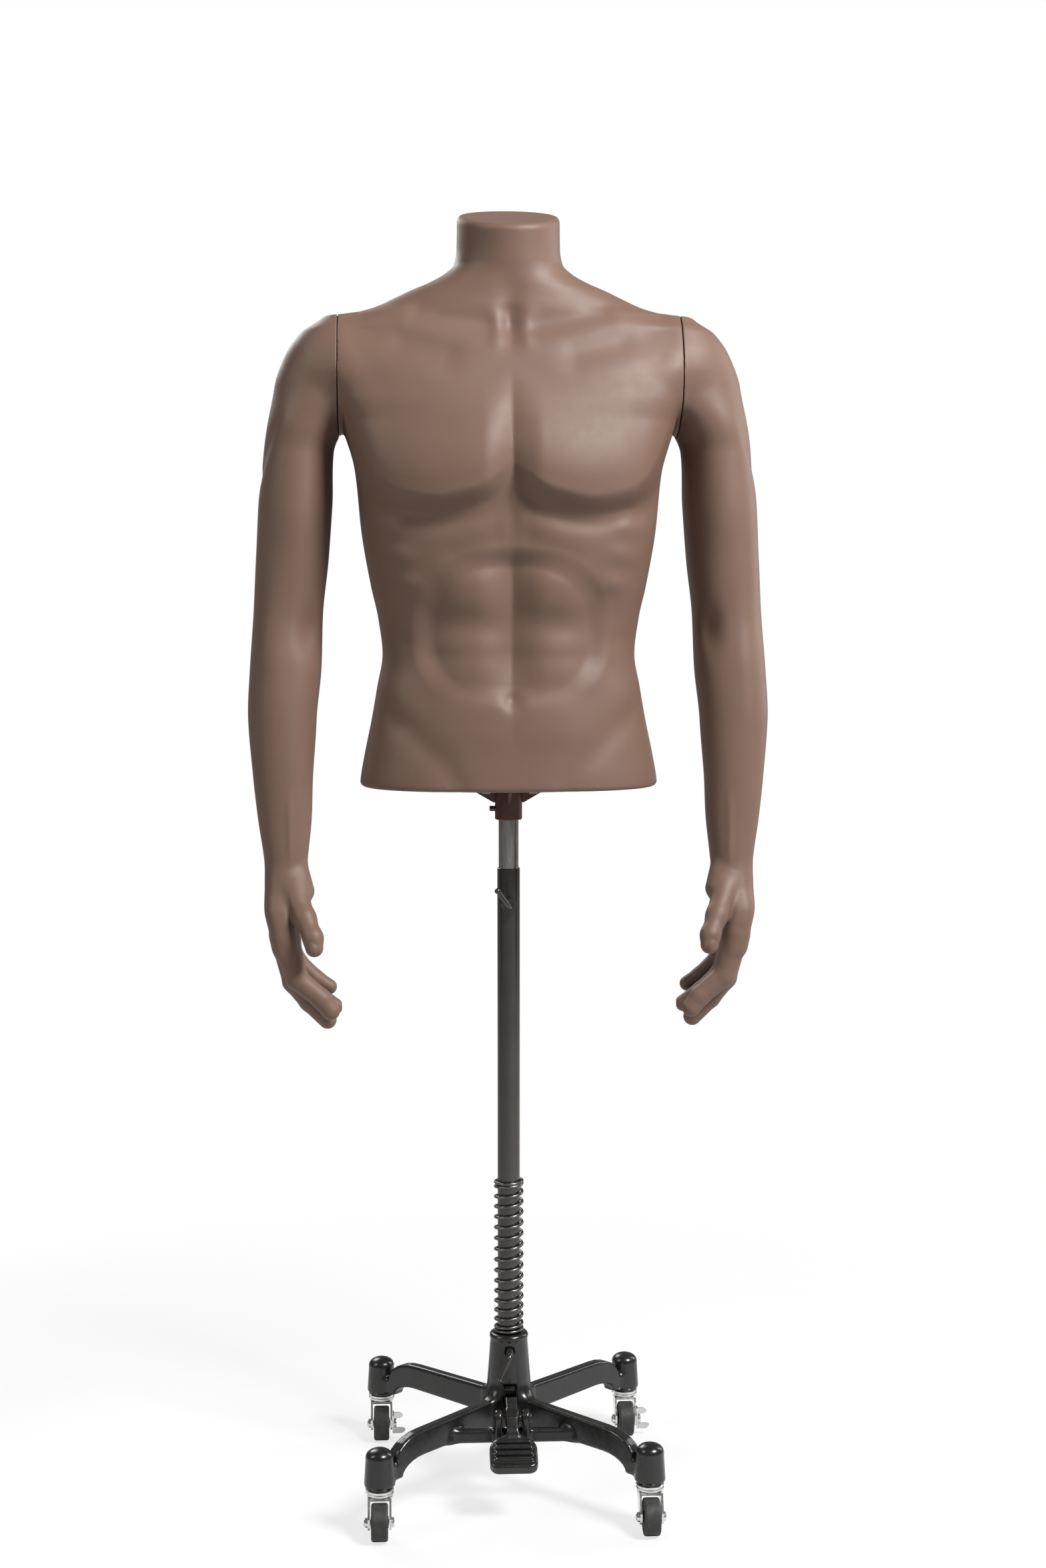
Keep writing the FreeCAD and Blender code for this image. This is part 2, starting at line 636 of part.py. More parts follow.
def make_pedal_spring():
    """Return spring coiled on the pedal pin, between the arm and a lug."""
    coil(
        "pedal_spring", "return_radius", "return_wire", "return_turns", "return_wire * 1.15",
        at=("pedal_arm_width / 2 + pedal_boss_extra + return_gap + return_wire / 2", "-bar_y", "pivot_z"),
        turn=Z_TO_X)


def coil(label, radius, wire, turns, pitch, at, turn=UPRIGHT):
    """Round wire swept along a helix that starts half a wire above the given place."""
    helix = doc.addObject("Part::Helix", f"{label}_line")
    bind(helix, Radius=radius, Pitch=pitch, Height=f"({turns}) * ({pitch})")
    section = doc.addObject("Part::Circle", f"{label}_section")
    section.Placement = Placement(Vector(), Rotation(Vector(1, 0, 0), 90))
    bind(section, Radius=f"({wire}) / 2")
    section.setExpression("Placement.Base.x", on_sheet(radius))
    sweep = doc.addObject("Part::Sweep", label)
    sweep.Sections = [section]
    sweep.Spine = (helix, ["Edge1"])
    sweep.Solid = True
    sweep.Frenet = True
    locate(sweep, at, turn)
    return node(sweep, label)


# ---- pole ----

def make_pole():
    bore = "rod_radius + slide_clearance"
    foot = "leg_under_z - stop_gap"
    tube = turned("pole_tube", [(bore, foot), ("tube_radius", foot), ("tube_radius", "tube_top_z - 0.5"),
                                ("tube_radius - 0.5", "tube_top_z"), (bore, "tube_top_z")])
    hole = new_sketch(tube, "XZ_Plane", "tube_radius")
    circle(hole, "0", "pole_lock_z", "screw_radius + screw_clearance")
    pocket(tube, hole, "tube_radius")
    lip = "tube_radius + stop_overhang"
    turned("pole_end_cap", [("0", f"{foot} - stop_flange"), (f"{lip} - 1", f"{foot} - stop_flange"),
                            (lip, f"{foot} - stop_flange + 1"), (lip, foot), (f"{bore} - 0.05", foot),
                            (f"{bore} - 0.05", f"{foot} + stop_plug"), ("0", f"{foot} + stop_plug")])
    top = "hem_z - flange_thickness - rod_seat_gap"
    turned("upper_rod", [("0", "rod_low_z"), ("rod_radius - rod_chamfer", "rod_low_z"),
                         ("rod_radius", "rod_low_z + rod_chamfer"), ("rod_radius", f"{top} - rod_chamfer"),
                         ("rod_radius - rod_chamfer", top), ("0", top)])
    low = "rod_low_z - plug_length"
    turned("rod_end_plug", [("0", low), ("rod_radius - 2", low), ("rod_radius", f"{low} + 2"),
                            ("rod_radius", "rod_low_z"), ("0", "rod_low_z")])


def make_riser_spring():
    pitch = "(spring_top_z - hub_top_z - spring_wire) / spring_turns"
    coil("riser_spring", "spring_radius", "spring_wire", "spring_turns", pitch,
         at=("0", "0", "hub_top_z + spring_wire / 2"))


def make_pole_lock_nut():
    """Hexagon nut coped to the tube that it is welded to."""
    nut = primitive("Prism", "pole_nut_blank", ("0", "0", "pole_lock_z"), Z_TO_MINUS_Y,
                    Circumradius="nut_radius", Height="tube_radius + nut_height")
    nut.Polygon = 6
    tube = primitive("Cylinder", "pole_nut_cope", ("0", "0", "pole_lock_z - 2 * nut_radius"),
                     Radius="tube_radius", Height="4 * nut_radius")
    bore = primitive("Cylinder", "pole_nut_bore", ("0", "0", "pole_lock_z"), Z_TO_MINUS_Y,
                     Radius="screw_radius + screw_clearance", Height="2 * tube_radius + nut_height")
    coped = combine("Cut", "pole_nut_coped", nut, tube)
    node(combine("Cut", "pole_lock_nut", coped, bore), "pole_lock_nut")


def make_lock_screw(label, height, tip, thread, handle, lean):
    """Threaded shank out of the front, then a bent handle leaning from straight up by lean degrees."""
    tilt = Rotation(Vector(0, 1, 0), lean)
    facing = tilt.multiply(Z_TO_MINUS_Y)
    shank = primitive("Cylinder", f"{label}_shank", ("0", f"-({tip})", height), Z_TO_MINUS_Y,
                      Radius="screw_radius", Height=thread)
    neck_y = f"({tip}) + ({thread})"
    neck = primitive("Cylinder", f"{label}_neck", ("0", f"-({neck_y}) + 1", height), Z_TO_MINUS_Y,
                     Radius="handle_radius", Height="4")
    up = tilt.multVec(Vector(0, 0, 1))
    bend_y = f"({neck_y}) + 3"
    centre = (f"handle_bend * {up.x:.6f}", f"-({bend_y})", f"({height}) + handle_bend * {up.z:.6f}")
    bend = primitive("Torus", f"{label}_bend", centre, bend_rotation(up),
                     Radius1="handle_bend", Radius2="handle_radius")
    bend.Angle3 = 90
    start = (f"handle_bend * {up.x:.6f}", f"-({bend_y}) - handle_bend",
             f"({height}) + handle_bend * {up.z:.6f}")
    grip = primitive("Cylinder", f"{label}_grip", start, tilt, Radius="handle_radius", Height=handle)
    end = (f"(handle_bend + {handle}) * {up.x:.6f}", f"-({bend_y}) - handle_bend",
           f"({height}) + (handle_bend + {handle}) * {up.z:.6f}")
    knob = primitive("Sphere", f"{label}_knob", end, Radius="knob_radius")
    pieces = [shank, neck, bend, grip, knob]
    for part in (shank, neck):
        part.Placement.Rotation = facing
    node(combine("MultiFuse", label, pieces, None), label)


def bend_rotation(up):
    """Turn a quarter torus so that it leads from -Y round to the handle's direction."""
    outwards = Vector(0, -1, 0)
    start = Vector(-up.x, 0, -up.z)
    return Rotation(start, outwards, start.cross(outwards), "XYZ")


# ---- under the torso ----

def make_post_flange():
    bore = "rod_radius + slide_clearance"
    plate = "hem_z - flange_thickness"
    piece = turned("post_flange", [
        (bore, "collar_low_z"), ("collar_radius - 1", "collar_low_z"), ("collar_radius", "collar_low_z + 1"),
        ("collar_radius", plate), ("flange_radius", plate), ("flange_radius", "hem_z"), ("0", "hem_z"),
        ("0", plate), (bore, plate)])
    sketch = new_sketch(piece, "XZ_Plane")
    outline(sketch, [("collar_radius - 1", f"{plate} - gusset_drop"), ("collar_radius + 2", f"{plate} - gusset_drop"),
                     ("gusset_radius", f"{plate} - 2"), ("gusset_radius", f"{plate} + 1"),
                     ("collar_radius - 1", f"{plate} + 1")])
    gusset = pad(piece, sketch, "gusset_thickness")
    around(piece, [gusset], 4)
    polar_holes(piece, "bolt_circle", "bolt_radius + bolt_clearance", "hem_z", "3 * flange_thickness", 4, 45)
    screw = new_sketch(piece, "YZ_Plane", "-collar_radius")
    circle(screw, "0", "set_screw_z", "set_screw_radius + screw_clearance")
    pocket(piece, screw, "2 * (collar_radius - rod_radius)")
    turned("post_set_screw", [("0", "rod_radius + screw_gap"),
                              ("set_screw_radius - 0.6", "rod_radius + screw_gap"),
                              ("set_screw_radius", "rod_radius + screw_gap + 0.6"),
                              ("set_screw_radius", "set_screw_reach - 0.6"),
                              ("set_screw_radius - 0.6", "set_screw_reach"), ("0", "set_screw_reach")],
           at=("0", "0", "set_screw_z"), turn=Z_TO_MINUS_X)


def make_base_board():
    piece = new_body("base_board")
    middle = "hem_z + skin + board_thickness / 2"
    sketch = new_sketch(piece, "XY_Plane", middle)
    rectangle(sketch, "-board_length / 2", "board_length / 2", "-board_depth / 2", "board_depth / 2")
    pad(piece, sketch, "board_thickness")
    fillet(piece, "board_corner", lambda edge: abs(edge.tangentAt(edge.FirstParameter).z) > 0.99)
    polar_holes(piece, "bolt_circle", "bolt_radius + bolt_clearance", middle, "2 * board_thickness", 4, 45)


def make_flange_bolts():
    bolts, nuts = [], []
    low = "hem_z - flange_thickness"
    seat = "hem_z + skin + board_thickness"
    for k, (across, along) in enumerate(ring_spots("bolt_circle", 4, 45)):
        shank = primitive("Cylinder", f"bolt_shank_{k}", (across, along, f"{low} - 1"), Radius="bolt_radius",
                          Height="flange_thickness + skin + board_thickness + nut_thickness + 3")
        head = primitive("Cylinder", f"bolt_head_{k}", (across, along, f"{low} - bolt_head"),
                         Radius="bolt_head_radius", Height="bolt_head")
        bolts.append(combine("MultiFuse", f"bolt_{k}", [shank, head], None))
        hexagon = primitive("Prism", f"nut_blank_{k}", (across, along, seat), Circumradius="nut_corner",
                            Height="nut_thickness")
        hexagon.Polygon = 6
        bore = primitive("Cylinder", f"nut_bore_{k}", (across, along, f"{seat} - 1"), Radius="bolt_radius",
                         Height="nut_thickness + 2")
        nuts.append(combine("Cut", f"nut_{k}", hexagon, bore))
    node(combine("Compound", "flange_bolts", bolts, None), "flange_bolts")
    node(combine("Compound", "board_nuts", nuts, None), "board_nuts")


# ---- mouldings ----

def section(centre_x, half_x, front, back, height, roundness):
    """A closed smooth outline, flatter than an ellipse as roundness goes above 2."""
    count = 24
    points = []
    for k in range(count):
        angle = 2 * math.pi * (k + 0.5) / count
        across = math.copysign(abs(math.cos(angle)) ** (2 / roundness), math.cos(angle))
        along = math.copysign(abs(math.sin(angle)) ** (2 / roundness), math.sin(angle))
        depth = back if along > 0 else front
        points.append(Vector(centre_x + half_x * across, depth * along, height))
    curve = Part.BSplineCurve()
    curve.interpolate(Points=points, PeriodicFlag=True, Parameters=[float(k) for k in range(count + 1)])
    return Part.Wire([curve.toShape()])


def torso_height_at(level):
    """Height over the floor of a level of the torso, given by its name in the sheet."""
    return size("hem_z") + size(level) * size("torso_height")


def torso_solid(inset):
    """The torso's outer form, or with an inset the form of the hollow inside it."""
    wires = []
    for name, level, half_x, front, back, roundness in TORSO_OUTLINES:
        height = size("hem_z") + level * size("torso_height") - inset
        wires.append(section(0, half_x - inset, front - inset, back - inset, height, roundness))
    return Part.makeLoft(wires, True, False)


def arm_solid(inset):
    wires = []
    for name, level, inner, outer, front, back, roundness in ARM_OUTLINES:
        height = torso_height_at("arm_top_level") - level * size("arm_length") - (inset if level < 0.05 else 0)
        middle, half_x = (inner + outer) / 2, (outer - inner) / 2 - inset
        shift = (back - front) / 2
        depth = (front + back) / 2 - inset
        wire = section(middle, half_x, depth, depth, height, roundness)
        wire.translate(Vector(0, shift, 0))
        wires.append(wire)
    return wires


def limb(points):
    """A tapering rod through points, each a place and a radius, closed by a blunt round tip."""
    places = [place for place, radius in points]
    ahead = [places[min(k + 1, len(places) - 1)] - places[max(k - 1, 0)] for k in range(len(places))]
    rings = [(place, radius, way) for (place, radius), way in zip(points, ahead)]
    tip, tip_radius = points[-1]
    forward = Vector(ahead[-1]).normalize()
    for step, shrink in TIP_STEPS:
        rings.append((tip + forward * (tip_radius * step), tip_radius * shrink, forward))
    return Part.makeLoft([Part.Wire([Part.makeCircle(r, at, way)]) for at, r, way in rings], True, True)


def hand_parts():
    """Fingers and thumb, placed from the knuckle line so that they follow the arm's length."""
    drop = torso_height_at("arm_top_level") - size("arm_length") - KNUCKLE_Z
    pieces = []
    for y, knuckle, middle, tip, radius in FINGERS.values():
        joints = zip((knuckle, middle, tip), FINGER_TAPER)
        pieces.append(limb([(Vector(x, y, z + drop), radius * taper) for (x, z), taper in joints]))
    pieces.append(limb([(Vector(x, y, z + drop), radius) for (x, y, z), radius in THUMB]))
    return pieces


def slab(low, high):
    return Part.makeBox(high[0] - low[0], high[1] - low[1], high[2] - low[2], Vector(*low))


def make_torso_shell():
    seam, face, skin = size("seam_x"), size("face_wall"), size("skin")
    hem, top = size("hem_z"), size("hem_z") + size("torso_height")
    cap = Placement(Vector(0, size("cap_back"), top), Rotation(Vector(1, 0, 0), size("cap_tilt")))

    def under_cap(drop):
        box = slab((-FAR, -FAR, -2 * FAR), (FAR, FAR, -drop))
        box.Placement = cap
        return box

    outer = torso_solid(0).common(slab((-seam, -FAR, hem), (seam, FAR, top + FAR))).common(under_cap(0))
    room = slab((face - seam, -FAR, hem + skin), (seam - face, FAR, top + FAR))
    inner = torso_solid(skin).common(room).common(under_cap(skin))
    skin_object = shaped("torso_skin", outer.cut(inner))
    tools = []
    for k, (across, along) in enumerate(ring_spots("bolt_circle", 4, 45)):
        tools.append(primitive("Cylinder", f"hem_hole_{k}", (across, along, "hem_z - 1"),
                               Radius="bolt_radius + bolt_clearance", Height="skin + 2"))
    for name, side in SIDES.items():
        tools += recess_tools(f"torso_{name}", side, f"{side} * seam_x", -side, "barrel_radius + recess_clearance")
    holes = combine("MultiFuse", "torso_holes", tools, None)
    node(combine("Cut", "torso_shell", skin_object, holes), "torso_shell")


def recess_tools(name, side, face, inward, hole):
    """What is cut from a moulding's shoulder face: the plate's recess, a hole and screw pilots.

    face is the face's X as an expression, and inward is +1 or -1, the way into the moulding."""
    turn = Z_TO_X if inward > 0 else Z_TO_MINUS_X
    middle = ("shoulder_y", "shoulder_z")
    deep = "plate_thickness + recess_clearance"
    tools = [
        primitive("Cylinder", f"{name}_recess", (f"{face} - {inward}", *middle), turn,
                  Radius="plate_radius + recess_clearance", Height=f"{deep} + 1"),
        primitive("Cylinder", f"{name}_throat", (f"{face} - {inward}", *middle), turn, Radius=hole,
                  Height="face_wall + 4")]
    for k, (up, across) in enumerate(ring_spots("fitting_screw_circle", 3, 180)):
        place = (f"{face} - {inward}", f"shoulder_y + {across}", f"shoulder_z + {up}")
        tools.append(primitive("Cylinder", f"{name}_pilot_{k}", place, turn, Radius="fitting_screw_radius",
                               Height="face_wall + 4"))
    return tools


def make_arm_shells():
    face = size("seam_x") + size("seam_gap")
    skin = size("skin")
    form = Part.makeLoft(arm_solid(0), True, False).common(slab((face, -FAR, 0), (face + FAR, FAR, 5 * FAR)))
    for finger in hand_parts():
        form = form.fuse(finger)
    hollow = Part.makeLoft(arm_solid(skin)[:-3], True, False)
    room = slab((face + size("face_wall"), -FAR, 0), (face + FAR, FAR, 5 * FAR))
    skin_object = shaped("arm_skin", form.cut(hollow.common(room)))
    tools = recess_tools("arm", 1, "(seam_x + seam_gap)", 1, "spigot_side / 2")
    holes = combine("MultiFuse", "arm_holes", tools, None)
    left = node(combine("Cut", "left_arm_shell", skin_object, holes), "left_arm_shell")
    right = doc.addObject("Part::Mirroring", "right_arm_shell")
    right.Source = left
    right.Normal = (1, 0, 0)
    node(right, "right_arm_shell")


# ---- shoulder fittings ----

def make_shoulder_fittings(name, side):
    """Socket, turning cup and arm plate on one shoulder; each body's Z points away from the torso."""
    out = Z_TO_X if side > 0 else Z_TO_MINUS_X
    middle = ("shoulder_y", "shoulder_z")
    at_torso = (f"{side} * seam_x", *middle)
    at_arm = (f"{side} * (seam_x + seam_gap)", *middle)
    bore = "cup_radius + cup_clearance"
    socket = turned(f"{name}_socket_plate", [
        (bore, "-barrel_length"), ("barrel_radius", "-barrel_length"), ("barrel_radius", "-plate_thickness"),
        ("plate_radius", "-plate_thickness"), ("plate_radius", "-0.4"), ("plate_radius - 0.4", "0"), (bore, "0")],
        at_torso, out)
    drill_plate(socket, side, "-plate_thickness / 2")
    screws(f"{name}_socket_screws", at_torso, side, -1)
    cup = turned(f"{name}_shoulder_cup", [
        ("0", "-barrel_length - 0.2 - cup_flange"), ("cup_flange_radius", "-barrel_length - 0.2 - cup_flange"),
        ("cup_flange_radius", "-barrel_length - 0.2"), ("cup_radius", "-barrel_length - 0.2"),
        ("cup_radius", "-0.2"), ("0", "-0.2")], at_torso, out)
    square = new_sketch(cup, "XY_Plane")
    half = "(spigot_side / 2 + spigot_clearance)"
    rectangle(square, f"-{half}", half, f"-{half}", half)
    pocket(cup, square, "2 * (spigot_length + 2)")
    plate = turned(f"{name}_arm_plate", [
        ("0", "0"), ("plate_radius - 0.4", "0"), ("plate_radius", "0.4"), ("plate_radius", "plate_thickness"),
        ("0", "plate_thickness")], at_arm, out)
    spigot = new_sketch(plate, "XY_Plane", "-spigot_length / 2 + 0.5")
    rectangle(spigot, "-spigot_side / 2", "spigot_side / 2", "-spigot_side / 2", "spigot_side / 2")
    pad(plate, spigot, "spigot_length + 1")
    drill_plate(plate, side, "plate_thickness / 2")
    screws(f"{name}_arm_screws", at_arm, side, 1)


def drill_plate(piece, side, middle):
    """Three screw holes through a plate, each with a flat recess for the head."""
    start = 0 if side > 0 else 180
    through, sunk = "fitting_screw_radius + 0.15", "fitting_head_radius + 0.3"
    polar_holes(piece, "fitting_screw_circle", through, middle, "2 * plate_thickness", 3, start)
    polar_holes(piece, "fitting_screw_circle", sunk, "0", "2 * (fitting_head + 0.1)", 3, start)


def screws(label, at, side, inward):
    """The three screws of a plate; inward is -1 into the torso and +1 into the arm."""
    way = side * inward
    turn = Z_TO_X if way > 0 else Z_TO_MINUS_X
    bolts = []
    for k, (up, across) in enumerate(ring_spots("fitting_screw_circle", 3, 180)):
        spot = (f"({at[0]}) + {way} * 0.1", f"{at[1]} + {across}", f"{at[2]} + {up}")
        head = primitive("Cylinder", f"{label}_head_{k}", spot, turn, Radius="fitting_head_radius",
                         Height="fitting_head")
        shank = primitive("Cylinder", f"{label}_shank_{k}", spot, turn, Radius="fitting_screw_radius",
                          Height="fitting_head + fitting_screw_length")
        bolts.append(combine("MultiFuse", f"{label}_{k}", [head, shank], None))
    node(combine("Compound", label, bolts, None), label)


# ---- casters ----

def make_caster(name, across, along):
    corner = (f"{across} * caster_spread", f"{along} * caster_spread", "0")
    race_top = "fork_top_z + race_height"
    turned(f"{name}_stem", [
        ("0", "fork_top_z - fork_plate - 3"), ("kingpin_radius + 2", "fork_top_z - fork_plate - 3"),
        ("kingpin_radius + 2", "fork_top_z - fork_plate - 0.3"), ("kingpin_radius", "fork_top_z - fork_plate - 0.3"),
        ("kingpin_radius", f"{race_top} + 0.3"), ("stem_radius + 4", f"{race_top} + 0.3"),
        ("stem_radius + 4", "boss_low_z"), ("stem_radius", "boss_low_z"),
        ("stem_radius", "boss_low_z + stem_depth - 1"), ("stem_radius - 1", "boss_low_z + stem_depth"),
        ("0", "boss_low_z + stem_depth")], corner)
    make_fork(f"{name}_fork", corner)
    axle_at = (corner[0], f"{corner[1]} - trail", "wheel_radius")
    half = "wheel_width / 2"
    turned(f"{name}_wheel", [
        ("axle_radius + axle_clearance", f"-{half} - 0.6"), ("axle_radius + 3", f"-{half} - 0.6"),
        ("axle_radius + 4", f"-{half} + 1"), ("wheel_radius - 5", f"-{half} + 1"),
        ("wheel_radius - 4", f"-{half}"), ("wheel_radius - wheel_edge", f"-{half}"),
        ("wheel_radius - wheel_edge * 0.3", f"-{half} + wheel_edge * 0.3"), ("wheel_radius", f"-{half} + wheel_edge"),
        ("wheel_radius", f"{half} - wheel_edge"), ("wheel_radius - wheel_edge * 0.3", f"{half} - wheel_edge * 0.3"),
        ("wheel_radius - wheel_edge", half), ("wheel_radius - 4", half), ("wheel_radius - 5", f"{half} - 1"),
        ("axle_radius + 4", f"{half} - 1"), ("axle_radius + 3", f"{half} + 0.6"),
        ("axle_radius + axle_clearance", f"{half} + 0.6")], axle_at, Z_TO_X)
    make_axle(f"{name}_axle", axle_at, name in BRAKED)
    if name in BRAKED:
        make_brake_lever(f"{name}_brake", axle_at)


FORK_HALF = "(wheel_width / 2 + wheel_gap + fork_plate)"


def make_fork(label, corner):
    """Bridge and two cheeks of bent sheet, with the swivel race on top."""
    piece = new_body(label)
    side = new_sketch(piece, "YZ_Plane")
    outline(side, [("-race_radius + 1", "fork_top_z"), ("-trail - axle_end_radius", "wheel_radius + 6"),
                   ("-trail - axle_end_radius", "wheel_radius"), ("-trail", "wheel_radius - axle_end_radius"),
                   ("-trail + axle_end_radius", "wheel_radius - 2"), ("race_radius - 2", "fork_top_z - 9"),
                   ("race_radius - 2", "fork_top_z")])
    pad(piece, side, f"2 * {FORK_HALF}")
    end = new_sketch(piece, "YZ_Plane")
    circle(end, "-trail", "wheel_radius", "axle_end_radius")
    pad(piece, end, f"2 * {FORK_HALF}")
    race = new_sketch(piece, "XZ_Plane")
    rim = "fork_top_z + race_height"
    outline(race, [("0", "fork_top_z - fork_plate"), ("race_radius - 1", "fork_top_z - fork_plate"),
                   ("race_radius - 1", "fork_top_z"), ("race_radius", "fork_top_z + 1"),
                   ("race_radius", "fork_top_z + 2.6"), ("race_radius - 1.2", "fork_top_z + 3.2"),
                   ("race_radius - 1.2", "fork_top_z + 3.8"), ("race_radius", "fork_top_z + 4.4"),
                   ("race_radius", f"{rim} - 1"), ("race_radius - 1.5", rim), ("0", rim)])
    revolve(piece, race)
    gap = new_sketch(piece, "XZ_Plane", "0")
    inside = f"({FORK_HALF} - fork_plate)"
    rectangle(gap, f"-{inside}", inside, "0", "fork_top_z - fork_plate")
    pocket(piece, gap, "4 * (trail + axle_end_radius)")
    pin = new_sketch(piece, "XY_Plane", "fork_top_z")
    circle(pin, "0", "0", "kingpin_radius + kingpin_clearance")
    pocket(piece, pin, "4 * race_height")
    axle = new_sketch(piece, "YZ_Plane")
    circle(axle, "-trail", "wheel_radius", "axle_radius")
    pocket(piece, axle, "4 * wheel_width")
    locate(piece, corner)


def make_axle(label, at, braked):
    """Axle bolt with a head and a nut; on a braked caster the head also holds the lever on."""
    extra = "brake_gap + brake_plate + brake_gap" if braked else "0"
    outer = f"({FORK_HALF} + {extra})"
    piece = turned(label, [
        ("0", f"-{FORK_HALF} - axle_head - 1"), ("axle_radius", f"-{FORK_HALF} - axle_head - 1"),
        ("axle_radius", f"-{FORK_HALF} - axle_head"), ("axle_head_radius - 0.6", f"-{FORK_HALF} - axle_head"),
        ("axle_head_radius", f"-{FORK_HALF} - axle_head + 0.6"), ("axle_head_radius", f"-{FORK_HALF}"),
        ("axle_radius", f"-{FORK_HALF}"), ("axle_radius", outer), ("axle_head_radius", outer),
        ("axle_head_radius", f"{outer} + axle_head - 0.8"), ("axle_head_radius - 0.8", f"{outer} + axle_head"),
        ("0", f"{outer} + axle_head")], at, Z_TO_X)
    return piece


def make_brake_lever(label, at):
    """Pressed lever on the axle bolt, outside the fork, with a wing above and a wing below."""
    piece = new_body(label)
    middle = f"{FORK_HALF} + brake_gap + brake_plate / 2"
    rise = "(axle_end_radius + 5)"
    plate = new_sketch(piece, "YZ_Plane", middle)
    outline(plate, [("-brake_width / 2", f"-{rise} + 5"), ("-brake_width / 2 + 3", f"-{rise} + 2"),
                    ("brake_width / 2", f"-{rise} + 2"), ("brake_width / 2", rise),
                    ("-brake_width / 2 + 2", rise), ("-brake_width / 2", f"{rise} - 3")])
    pad(piece, plate, "brake_plate")
    hole = new_sketch(piece, "YZ_Plane", middle)
    circle(hole, "0", "0", "axle_radius + axle_clearance")
    pocket(piece, hole, "4 * brake_plate")
    for sign, reach in ((1, "brake_reach - 3"), (-1, "brake_reach")):
        tip = f"{FORK_HALF} + brake_gap + {reach}"
        root = f"{FORK_HALF} + brake_gap + 0.2"
        wing = new_sketch(piece, "XZ_Plane")
        tilt = Rotation(Vector(1, 0, 0), 0)
        locate(wing, ("0", f"{sign} * ({rise} - 4.5)", "0"), tilt, "AttachmentOffset")
        low, high = ("-2.8", "4.5") if sign > 0 else ("-4", "2.8")
        outline(wing, [(root, low), (f"{tip} - 4", low), (tip, "-1"), (tip, "1.5"),
                       (f"{tip} - 4", high), (root, high)])
        pad(piece, wing, "brake_plate")
    locate(piece, at)


# ---- the whole stand ----

def check(thing):
    """Stop unless the piece is sound."""
    if any(word in thing.State for word in ("Invalid", "Error")):
        raise ValueError(f"{thing.Label} failed: {thing.State}")
    shape = thing.Shape
    if shape.isNull() or not shape.isValid() or not shape.Solids:
        raise ValueError(f"{thing.Label} has no sound solid")


def main():
    fill_sheet()
    make_base_casting()
    make_hub_bush()
    make_pedal_pin()
    make_foot_pedal()
    make_brake_shoe()
    make_pedal_spring()
    make_pole()
    make_riser_spring()
    make_pole_lock_nut()
    make_lock_screw("pole_lock_screw", "pole_lock_z", "rod_radius + screw_gap", "pole_screw_length",
                    "pole_handle", -36)
    make_lock_screw("base_lock_screw", "base_lock_z", "tube_radius + screw_gap", "base_screw_length",
                    "base_handle", -158)
    make_post_flange()
    make_base_board()
    make_flange_bolts()
    make_torso_shell()
    make_arm_shells()
    for name, side in SIDES.items():
        make_shoulder_fittings(name, side)
    for name, (across, along) in CORNERS.items():
        make_caster(name, across, along)
    doc.recompute()
    for thing in doc.Objects:
        if any(word in thing.State for word in ("Invalid", "Error")):
            raise ValueError(f"{thing.Name} failed: {thing.State}")
    for thing in nodes:
        check(thing)
    os.makedirs("parts", exist_ok=True)
    for thing in nodes:
        thing.Shape.exportStep(f"parts/{thing.Label}.step")
    print(len(nodes), "nodes written")


main()
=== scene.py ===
# A headless male display mannequin on an adjustable stand with a foot pedal: its looks.
#
# Metres in the scene. The moulded body, the casting and the pedal are worked out as fields in
# millimetres (negative inside, the surface where the field is nought) and meshed from them.
# The torso faces -Y and the mannequin's own left is +X.

import json
import math

import bmesh
import bpy
import numpy as np
from mathutils import Matrix, Vector


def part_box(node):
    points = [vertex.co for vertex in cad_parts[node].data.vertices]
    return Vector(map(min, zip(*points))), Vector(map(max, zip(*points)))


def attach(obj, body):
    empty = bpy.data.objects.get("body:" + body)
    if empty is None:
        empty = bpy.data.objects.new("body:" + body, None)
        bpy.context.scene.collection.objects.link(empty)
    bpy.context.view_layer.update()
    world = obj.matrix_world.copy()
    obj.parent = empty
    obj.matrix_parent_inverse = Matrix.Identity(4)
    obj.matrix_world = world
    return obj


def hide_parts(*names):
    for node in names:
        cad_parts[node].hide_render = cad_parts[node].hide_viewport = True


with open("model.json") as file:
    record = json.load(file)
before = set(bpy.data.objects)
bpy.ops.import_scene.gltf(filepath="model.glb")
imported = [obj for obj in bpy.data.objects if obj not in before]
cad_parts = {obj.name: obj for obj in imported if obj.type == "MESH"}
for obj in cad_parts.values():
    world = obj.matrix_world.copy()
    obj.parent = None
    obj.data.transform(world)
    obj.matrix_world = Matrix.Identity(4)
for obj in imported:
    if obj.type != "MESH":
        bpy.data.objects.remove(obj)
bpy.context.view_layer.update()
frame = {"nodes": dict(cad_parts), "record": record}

MM = 0.001


def box_mm(node):
    """Lowest and highest corner of a CAD node, in millimetres."""
    low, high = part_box(node)
    return np.array(low) / MM, np.array(high) / MM


# ---- fields ----

def ramp(low, high, value):
    """0 at low and 1 at high, with a smooth rise or fall between, and level outside them."""
    share = np.clip((value - low) / (high - low), 0, 1)
    return share * share * (3 - 2 * share)


def bell(value, width):
    """1 at nought, and almost nothing two widths away."""
    return np.exp(-(value / width) ** 2)


def mound(x, z, middle, reach, power=2):
    """1 at the middle, dropping to nothing about its reach away. A higher power makes the top
    flatter."""
    sideways = np.abs((x - middle[0]) / reach[0]) ** power
    upwards = np.abs((z - middle[1]) / reach[1]) ** power
    return np.exp(-sideways - upwards)


def join(first, second, reach):
    """Both forms as one, with the corner between them filled over that reach."""
    share = np.clip(0.5 + 0.5 * (second - first) / reach, 0, 1)
    return second + (first - second) * share - reach * share * (1 - share)


